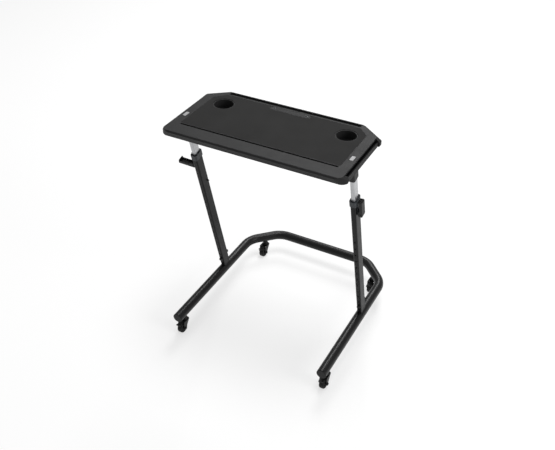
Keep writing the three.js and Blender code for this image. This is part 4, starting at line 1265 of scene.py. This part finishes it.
    def build(self, form: NodeForm) -> list[str]:
        """Builds the caster.

        Args:
            form: The node tree that repeats a rib round the axle.

        Returns:
            The pieces' names.
        """
        name = self.corner.value
        soft = [
            SoftNode(name + "_caster_fork", name + "_fork", CASTER_COAT, 0.5 * MM),
            SoftNode(name + "_caster_axle", name + "_fork", BLACK_ZINC, 0.6 * MM),
            SoftNode(name + "_caster_brake", name + "_brake", FITTING_PLASTIC, 0.5 * MM),
        ]
        return self.wheel(form) + [self.mount()] + [node.build() for node in soft]


@dataclass(frozen=True)
class Leg:
    """One telescopic leg with its collar, lever and head.

    Attributes:
        side: The leg's side.
        half_depth: Half the lower leg's depth.
        stop_height: Height of the stop screw up the lower leg.
        stop_from_rear: Distance of the stop screw from the lower leg's rear face.
        stop: The stop screw's head.
    """

    side: Side
    half_depth: float = 22 * MM
    stop_height: float = 572 * MM
    stop_from_rear: float = 8 * MM
    stop: ScrewHead = ScrewHead(4 * MM, 6.5 * MM)

    def stop_screw(self) -> str:
        """Builds the stop screw in the lower leg's inner face.

        Returns:
            The piece's name.
        """
        low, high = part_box(self.side.value + "_lower_leg")
        arm_low, arm_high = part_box(self.side.value + "_base_arm")
        foot_height = (arm_low.z + arm_high.z) / 2
        length = (high.z - foot_height - self.half_depth * math.sin(LEG_LEAN)) / math.cos(LEG_LEAN)
        foot_y = low.y + length * math.sin(LEG_LEAN) + self.half_depth * math.cos(LEG_LEAN)
        foot = Vector(((low.x + high.x) / 2, foot_y, foot_height))
        up = Vector((0, -math.sin(LEG_LEAN), math.cos(LEG_LEAN)))
        back = Vector((0, math.cos(LEG_LEAN), math.sin(LEG_LEAN)))
        inward = Vector((-self.side.sign, 0, 0))
        middle = foot + up * self.stop_height + back * (self.half_depth - self.stop_from_rear)
        turn = facing(middle + inward * (high.x - low.x) / 2, inward)
        return self.stop.build(self.side.value + "_stop_screw", "base", turn)

    def build(self) -> list[str]:
        """Builds the leg.

        Returns:
            The pieces' names.
        """
        name = self.side.value
        soft = [
            SoftNode(name + "_lower_leg", "base", LEG_COAT, 0.35 * MM),
            SoftNode(name + "_leg_bolt", "base", FITTING_PLASTIC, 0.8 * MM),
            SoftNode(name + "_leg_collar", "base", COLLAR_PLASTIC, 0.7 * MM),
            SoftNode(name + "_lever_pin", "base", BLACK_ZINC, 0.3 * MM),
            SoftNode(name + "_clamp_lever", name + "_lever", FITTING_PLASTIC, 0.7 * MM),
            SoftNode(name + "_upper_leg", "top", SILVER_TUBE, 0.3 * MM),
            SoftNode(name + "_leg_head", "top", FITTING_PLASTIC, 0.9 * MM),
            SoftNode(name + "_front_head_screw", "top", ZINC, 0.3 * MM),
            SoftNode(name + "_rear_head_screw", "top", ZINC, 0.3 * MM),
        ]
        carry(name + "_foot_core", LEG_COAT)
        carry(name + "_leg_glide", FITTING_PLASTIC)
        carry(name + "_index_button", ZINC)
        return [node.build() for node in soft] + [self.stop_screw()]


@dataclass(frozen=True)
class CupWell:
    """A cup well that hangs in the top by its lip.

    Attributes:
        side: The well's side.
        wall: Thickness of its wall and floor.
        lip_reach: How far the lip reaches beyond the wall.
        lip_height: Thickness of the lip.
        taper: How much narrower the foot is than the wall above.
        shoulder_depth: Depth below the top at which the wall starts to narrow.
        floor_slope: Size of the slope between wall and floor.
        foot_slope: Width of the slope at the outside of the foot.
        edge: Rounding of the edges.
        sides: Faces round it.
    """

    side: Side
    wall: float = 2.2 * MM
    lip_reach: float = 2 * MM
    lip_height: float = 1.6 * MM
    taper: float = 4.5 * MM
    shoulder_depth: float = 4.5 * MM
    floor_slope: float = 4.5 * MM
    foot_slope: float = 1.1 * MM
    edge: float = 1.0 * MM
    sides: int = 96

    def build(self) -> str:
        """Builds the well.

        Returns:
            The piece's name.
        """
        node = self.side.value + "_cup_well"
        low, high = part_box(node)
        lip = (high.x - low.x) / 2
        outer = lip - self.lip_reach
        inner = outer - self.wall
        foot = inner - self.taper
        floor = low.z + self.wall
        wall_top = high.z - self.lip_height
        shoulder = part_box("desktop")[0].z - self.shoulder_depth
        outline = [
            (0, low.z), (foot + self.foot_slope, low.z), (foot + self.wall, floor),
            (outer, shoulder), (outer, wall_top), (lip, wall_top), (lip, high.z),
            (inner, high.z), (inner, shoulder), (foot, floor + self.floor_slope),
            (foot - self.floor_slope, floor), (0, floor),
        ]
        turn = Matrix.Translation(((low.x + high.x) / 2, (low.y + high.y) / 2, 0))
        mesh = lathe(node + "_mesh", rounded(outline, self.edge), turn, self.sides)
        # The well's lightened finish paints light into the deep well.
        return piece(self.side.value + "_cup_liner", mesh, LIGHTENED_WELL_PLASTIC, "top", node).name


@dataclass(frozen=True)
class InsertScrews:
    """The two screws in the rear insert, each in a hole with a raised ring round it.

    Attributes:
        spacing: Distance between the screws.
        depth: Depth of the holes.
        screw: The screws' head.
        ring_gap: Distance of a ring's inner edge from the screw's head.
        ring_reach: Distance of its outer edge from the screw's head.
        ring_sunk: How far it reaches into the insert.
        ring_height: How far it stands above the insert.
        ring_edge: Rounding of its edges.
        sides: Faces round it.
    """

    spacing: float = 138 * MM
    depth: float = 2 * MM
    screw: ScrewHead = ScrewHead(2.7 * MM, 1.3 * MM)
    ring_gap: float = 1.6 * MM
    ring_reach: float = 3.6 * MM
    ring_sunk: float = 0.3 * MM
    ring_height: float = 0.5 * MM
    ring_edge: float = 0.25 * MM
    sides: int = 40

    def ring(self, side: Side, turn: Matrix) -> str:
        """Builds the ring round one screw.

        Args:
            side: The screw's side.
            turn: Matrix that stands the ring on the insert.

        Returns:
            The piece's name.
        """
        inner, outer = self.screw.radius + self.ring_gap, self.screw.radius + self.ring_reach
        low, high = -self.ring_sunk, self.ring_height
        corners = [(inner, low), (outer, low), (outer, high), (inner, high)]
        outline = rounded(corners, self.ring_edge)
        name = side.value + "_insert_ring"
        mesh = lathe(name + "_mesh", outline + outline[:1], turn, self.sides)
        return piece(name, mesh, COLLAR_PLASTIC, "top").name

    def build(self) -> list[str]:
        """Builds the screws and their rings.

        Returns:
            The pieces' names.
        """
        low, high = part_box("rear_insert")
        names = []
        for side in Side:
            x = (low.x + high.x) / 2 + side.sign * self.spacing / 2
            surface = Matrix.Translation((x, (low.y + high.y) / 2, high.z))
            hole = surface @ Matrix.Translation((0, 0, -self.depth))
            names.append(self.screw.build(side.value + "_insert_screw", "top", hole))
            names.append(self.ring(side, surface))
        return names


@dataclass(frozen=True)
class GrooveShadeSheet:
    """A near-black sheet in the tablet groove, with a flange on the surface round it, which paints
    the shade of the deep groove.

    Attributes:
        from_front: Distance of the groove's middle from the front edge.
        from_side: Distance of its ends from the side edges.
        width: Its width.
        depth: Its depth.
        thickness: Thickness of the sheet.
        gap: Gap between the sheet and the groove's wall.
        floor_gap: Gap between the sheet and the groove's floor.
        turn_depth: Depth at which the sheet turns outwards.
        flange: How far its flange reaches beyond the groove.
        flange_sunk: Share of the thickness by which the flange's lower face lies below the surface.
        steps: Edges round each end.
    """

    from_front: float = 70 * MM
    from_side: float = 57.5 * MM
    width: float = 8 * MM
    depth: float = 14 * MM
    thickness: float = 0.4 * MM
    gap: float = 0.1 * MM
    floor_gap: float = 0.05 * MM
    turn_depth: float = 0.8 * MM
    flange: float = 0.9 * MM
    flange_sunk: float = 0.75
    steps: int = 8

    def loop(self, radius: float, height: float) -> list[tuple[float, float, float]]:
        """Gives the points of a long loop with round ends about the groove's middle.

        Args:
            radius: Radius of its ends.
            height: Its height.

        Returns:
            The points, in order.
        """
        low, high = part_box("desktop")
        middle = (low.x + high.x) / 2
        reach = (high.x - low.x) / 2 - self.from_side - self.width / 2
        points = []
        for end, first in ((middle + reach, -math.pi / 2), (middle - reach, math.pi / 2)):
            for k in range(self.steps + 1):
                angle = first + math.pi * k / self.steps
                y = low.y + self.from_front + radius * math.sin(angle)
                points.append((end + radius * math.cos(angle), y, height))
        return points

    def build(self) -> str:
        """Builds the near-black sheet that paints the groove's shade.

        Returns:
            The piece's name.
        """
        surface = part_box("desktop")[1].z
        half = self.width / 2
        points = self.loop(half - self.gap, surface - self.depth + self.floor_gap)
        count = len(points)
        points += self.loop(half - self.gap, surface - self.turn_depth)
        points += self.loop(half + self.flange, surface - self.flange_sunk * self.thickness)
        walls = [
            (first + k, first + k + count, first + (k + 1) % count + count, first + (k + 1) % count)
            for first in (0, count)
            for k in range(count)
        ]
        mesh = bpy.data.meshes.new("groove_lining")
        mesh.from_pydata(points, [], walls + [tuple(range(count))])
        made = piece("groove_lining", mesh, TREAD_RUBBER_AND_SHADE, "top")
        made.modifiers.new("thickness", "SOLIDIFY").thickness = -self.thickness
        freeze(made)
        shade_smooth(made.data)
        return made.name


@dataclass(frozen=True)
class Desktop:
    """The moulded top with what lies in it.

    Attributes:
        mat_gap: Gap between the mat and the wall of its recess.
        shadow_bead_drop: Depth of the dark bead's middle below the mat's surface.
        shadow_bead_fill: Radius of the dark bead as a share of the gap.
        wells: The cup wells.
        screws: The rear insert's screws.
        lining: The near-black sheet that paints the shade in the tablet groove.
    """

    mat_gap: float = 1 * MM
    shadow_bead_drop: float = 0.75 * MM
    shadow_bead_fill: float = 1.15
    wells: tuple[CupWell, ...] = tuple(CupWell(side) for side in Side)
    screws: InsertScrews = InsertScrews()
    lining: GrooveShadeSheet = GrooveShadeSheet()

    def mat_seal(self, form: NodeForm) -> str:
        """Builds a thin near-black bead in the gap round the mat, which paints that gap's shadow
        line.

        Args:
            form: The node tree that sweeps a bar along a path.

        Returns:
            The piece's name.
        """
        points = upper_outline("desk_mat")
        middle = sum(points, Vector()) / len(points)
        drop = Vector((0, 0, -self.shadow_bead_drop))
        path = []
        for before, here, after in zip(points[-1:] + points[:-1], points, points[1:] + points[:1]):
            along = (after - before).normalized()
            aside = Vector((along.y, -along.x, 0))
            if aside.dot(here - middle) < 0:
                aside = -aside
            path.append(here + aside * self.mat_gap / 2 + drop)
        shadow_bead = Bar("mat_seal", self.shadow_bead_fill * self.mat_gap, TREAD_RUBBER_AND_SHADE, "top")
        return shadow_bead.build(form, path + path[:1])

    def build(self, form: NodeForm) -> list[str]:
        """Builds the top.

        Args:
            form: The node tree that sweeps a bar along a path.

        Returns:
            The pieces' names.
        """
        soft = [
            TopMoulding("desktop", "top", TOP_PLASTIC, 0.9 * MM),
            SoftNode("desk_mat", "top", MAT_RUBBER, 1.1 * MM),
            SoftNode("rear_insert", "top", INSERT_PLASTIC, 0.5 * MM),
            SoftNode("left_badge_plate", "top", BADGE_GREY, 0.4 * MM),
            SoftNode("right_badge_plate", "top", BADGE_GREY, 0.4 * MM),
        ]
        names = [node.build() for node in soft] + [well.build() for well in self.wells]
        return names + self.screws.build() + [self.lining.build(), self.mat_seal(form)]


@dataclass(frozen=True)
class TrainerDesk:
    """The whole desk.

    Attributes:
        base: The tube base.
        casters: The four casters.
        legs: The two legs.
        top: The moulded top.
    """

    base: BaseFrame = BaseFrame()
    casters: tuple[Caster, ...] = tuple(Caster(corner) for corner in Corner)
    legs: tuple[Leg, ...] = tuple(Leg(side) for side in Side)
    top: Desktop = Desktop()

    def build(self) -> list[str]:
        """Builds every sub-assembly.

        Returns:
            The pieces' names.
        """
        bar = swept_tube_form()
        names = self.base.build(bar)
        spokes = round_axle_form()
        for caster in self.casters:
            names += caster.build(spokes)
        for leg in self.legs:
            names += leg.build()
        return names + self.top.build(bar)


# Stage


@dataclass(frozen=True)
class Lamp:
    """A soft square lamp.

    Attributes:
        name: The lamp's name.
        place: Where it hangs.
        aim: What it points at.
        size: Its width.
        power: Its power in watts.
    """

    name: str
    place: tuple[float, float, float]
    aim: tuple[float, float, float]
    size: float
    power: float

    def build(self) -> None:
        """Adds the lamp to the scene."""
        data = bpy.data.lights.new(self.name, "AREA")
        data.size = self.size
        data.energy = self.power
        made = bpy.data.objects.new(self.name, data)
        made.location = self.place
        line = Vector(self.aim) - Vector(self.place)
        made.rotation_euler = line.to_track_quat("-Z", "Y").to_euler()
        bpy.context.scene.collection.objects.link(made)


@dataclass(frozen=True)
class Studio:
    """The photograph's camera, a pale floor and plain soft lamps.

    Attributes:
        place: The camera's place.
        yaw: Turn of the view to the left, in degrees.
        pitch: Tilt of the view below the horizon, in degrees.
        lens: Focal length in mm.
        film: Width of the film in mm.
        reach: Greatest distance that the camera sees.
        floor_size: Width of the floor.
        floor_colour: Grey of the floor.
        floor_glow: Strength of the white that the floor shows where it is seen or mirrored.
        glow_share: Share of that white there, beside the floor's own shading.
        sky_light: Strength of the white world as a light.
        mirrored_sky: Share of the way to full white at which glossy faces see the world.
        lamps: The lamps.
    """

    place: tuple[float, float, float] = (1.2264, -2.3527, 2.4325)
    yaw: float = 28.07
    pitch: float = 36.54
    lens: float = 49.93
    film: float = 36.0
    reach: float = 100.0
    floor_size: float = 24.0
    floor_colour: float = 0.93
    floor_glow: float = 1.04
    glow_share: float = 0.61
    sky_light: float = 0.29
    mirrored_sky: float = 0.15
    lamps: tuple[Lamp, ...] = (
        Lamp("overhead_lamp", (0.6, 0.6, 7.0), (0.0, 0.0, 0.6), 2.5, 222.0),
        Lamp("side_lamp", (6.3, -0.4, 3.4), (0.0, 0.0, 0.5), 2.6, 130.0),
        Lamp("back_lamp", (-1.1, 4.4, 4.6), (0.0, 0.0, 0.3), 2.2, 160.0),
    )

    def camera(self) -> None:
        """Puts the camera where the photograph was taken."""
        data = bpy.data.cameras.new("camera")
        data.lens = self.lens
        data.sensor_width = self.film
        data.clip_end = self.reach
        made = bpy.data.objects.new("camera", data)
        made.location = self.place
        made.rotation_euler = (math.radians(90 - self.pitch), 0.0, math.radians(self.yaw))
        bpy.context.scene.collection.objects.link(made)
        bpy.context.scene.camera = made

    def floor(self) -> None:
        """Lays a pale floor that shows only soft shadows."""
        half = self.floor_size / 2
        mesh = bpy.data.meshes.new("floor")
        corners = [(-half, -half, 0), (half, -half, 0), (half, half, 0), (-half, half, 0)]
        mesh.from_pydata(corners, [], [(0, 1, 2, 3)])
        made = bpy.data.objects.new("floor", mesh)
        bpy.context.scene.collection.objects.link(made)
        graph = ShaderGraph("pale_floor")
        matt = graph.add("ShaderNodeBsdfDiffuse", color=(*[self.floor_colour] * 3, 1.0))
        glow = graph.add("ShaderNodeEmission", color=(1.0, 1.0, 1.0, 1.0), strength=self.floor_glow)
        rays = graph.add("ShaderNodeLightPath").outputs
        seen = Signal(graph, rays["Is Camera Ray"]) + Signal(graph, rays["Is Glossy Ray"])
        mixed = graph.add("ShaderNodeMixShader")
        parts = (seen * self.glow_share, matt.outputs[0], glow.outputs[0])
        for place, value in zip(mixed.inputs, parts):
            graph.feed(place, value)
        mesh.materials.append(graph.close(mixed.outputs[0]))

    def sky(self) -> None:
        """Sets an even white world, dimmer as a light than where it is seen or mirrored."""
        world = bpy.data.worlds.new("studio")
        bpy.context.scene.world = world
        world.use_nodes = True
        tree = NodeTree(world.node_tree)
        rays = tree.add("ShaderNodeLightPath").outputs
        mirrored = Signal(tree, rays["Is Glossy Ray"]) * self.mirrored_sky
        seen = Signal(tree, rays["Is Camera Ray"]) + mirrored
        strength = seen * (1 - self.sky_light) + self.sky_light
        white = tree.add("ShaderNodeBackground", color=(1.0, 1.0, 1.0, 1.0), strength=strength)
        tree.add("ShaderNodeOutputWorld", surface=white.outputs[0])

    def build(self) -> None:
        """Builds the whole stage."""
        bpy.context.scene.view_settings.view_transform = "Standard"
        self.camera()
        self.floor()
        self.sky()
        for lamp in self.lamps:
            lamp.build()


def main() -> None:
    """Loads the frame, builds the stage and the desk, and logs each piece's name."""
    logging.basicConfig(level=logging.INFO, format="%(name)s: %(message)s")
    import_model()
    Studio().build()
    for name in TrainerDesk().build():
        LOG.info("built %s", name)


if __name__ == "__main__":
    main()
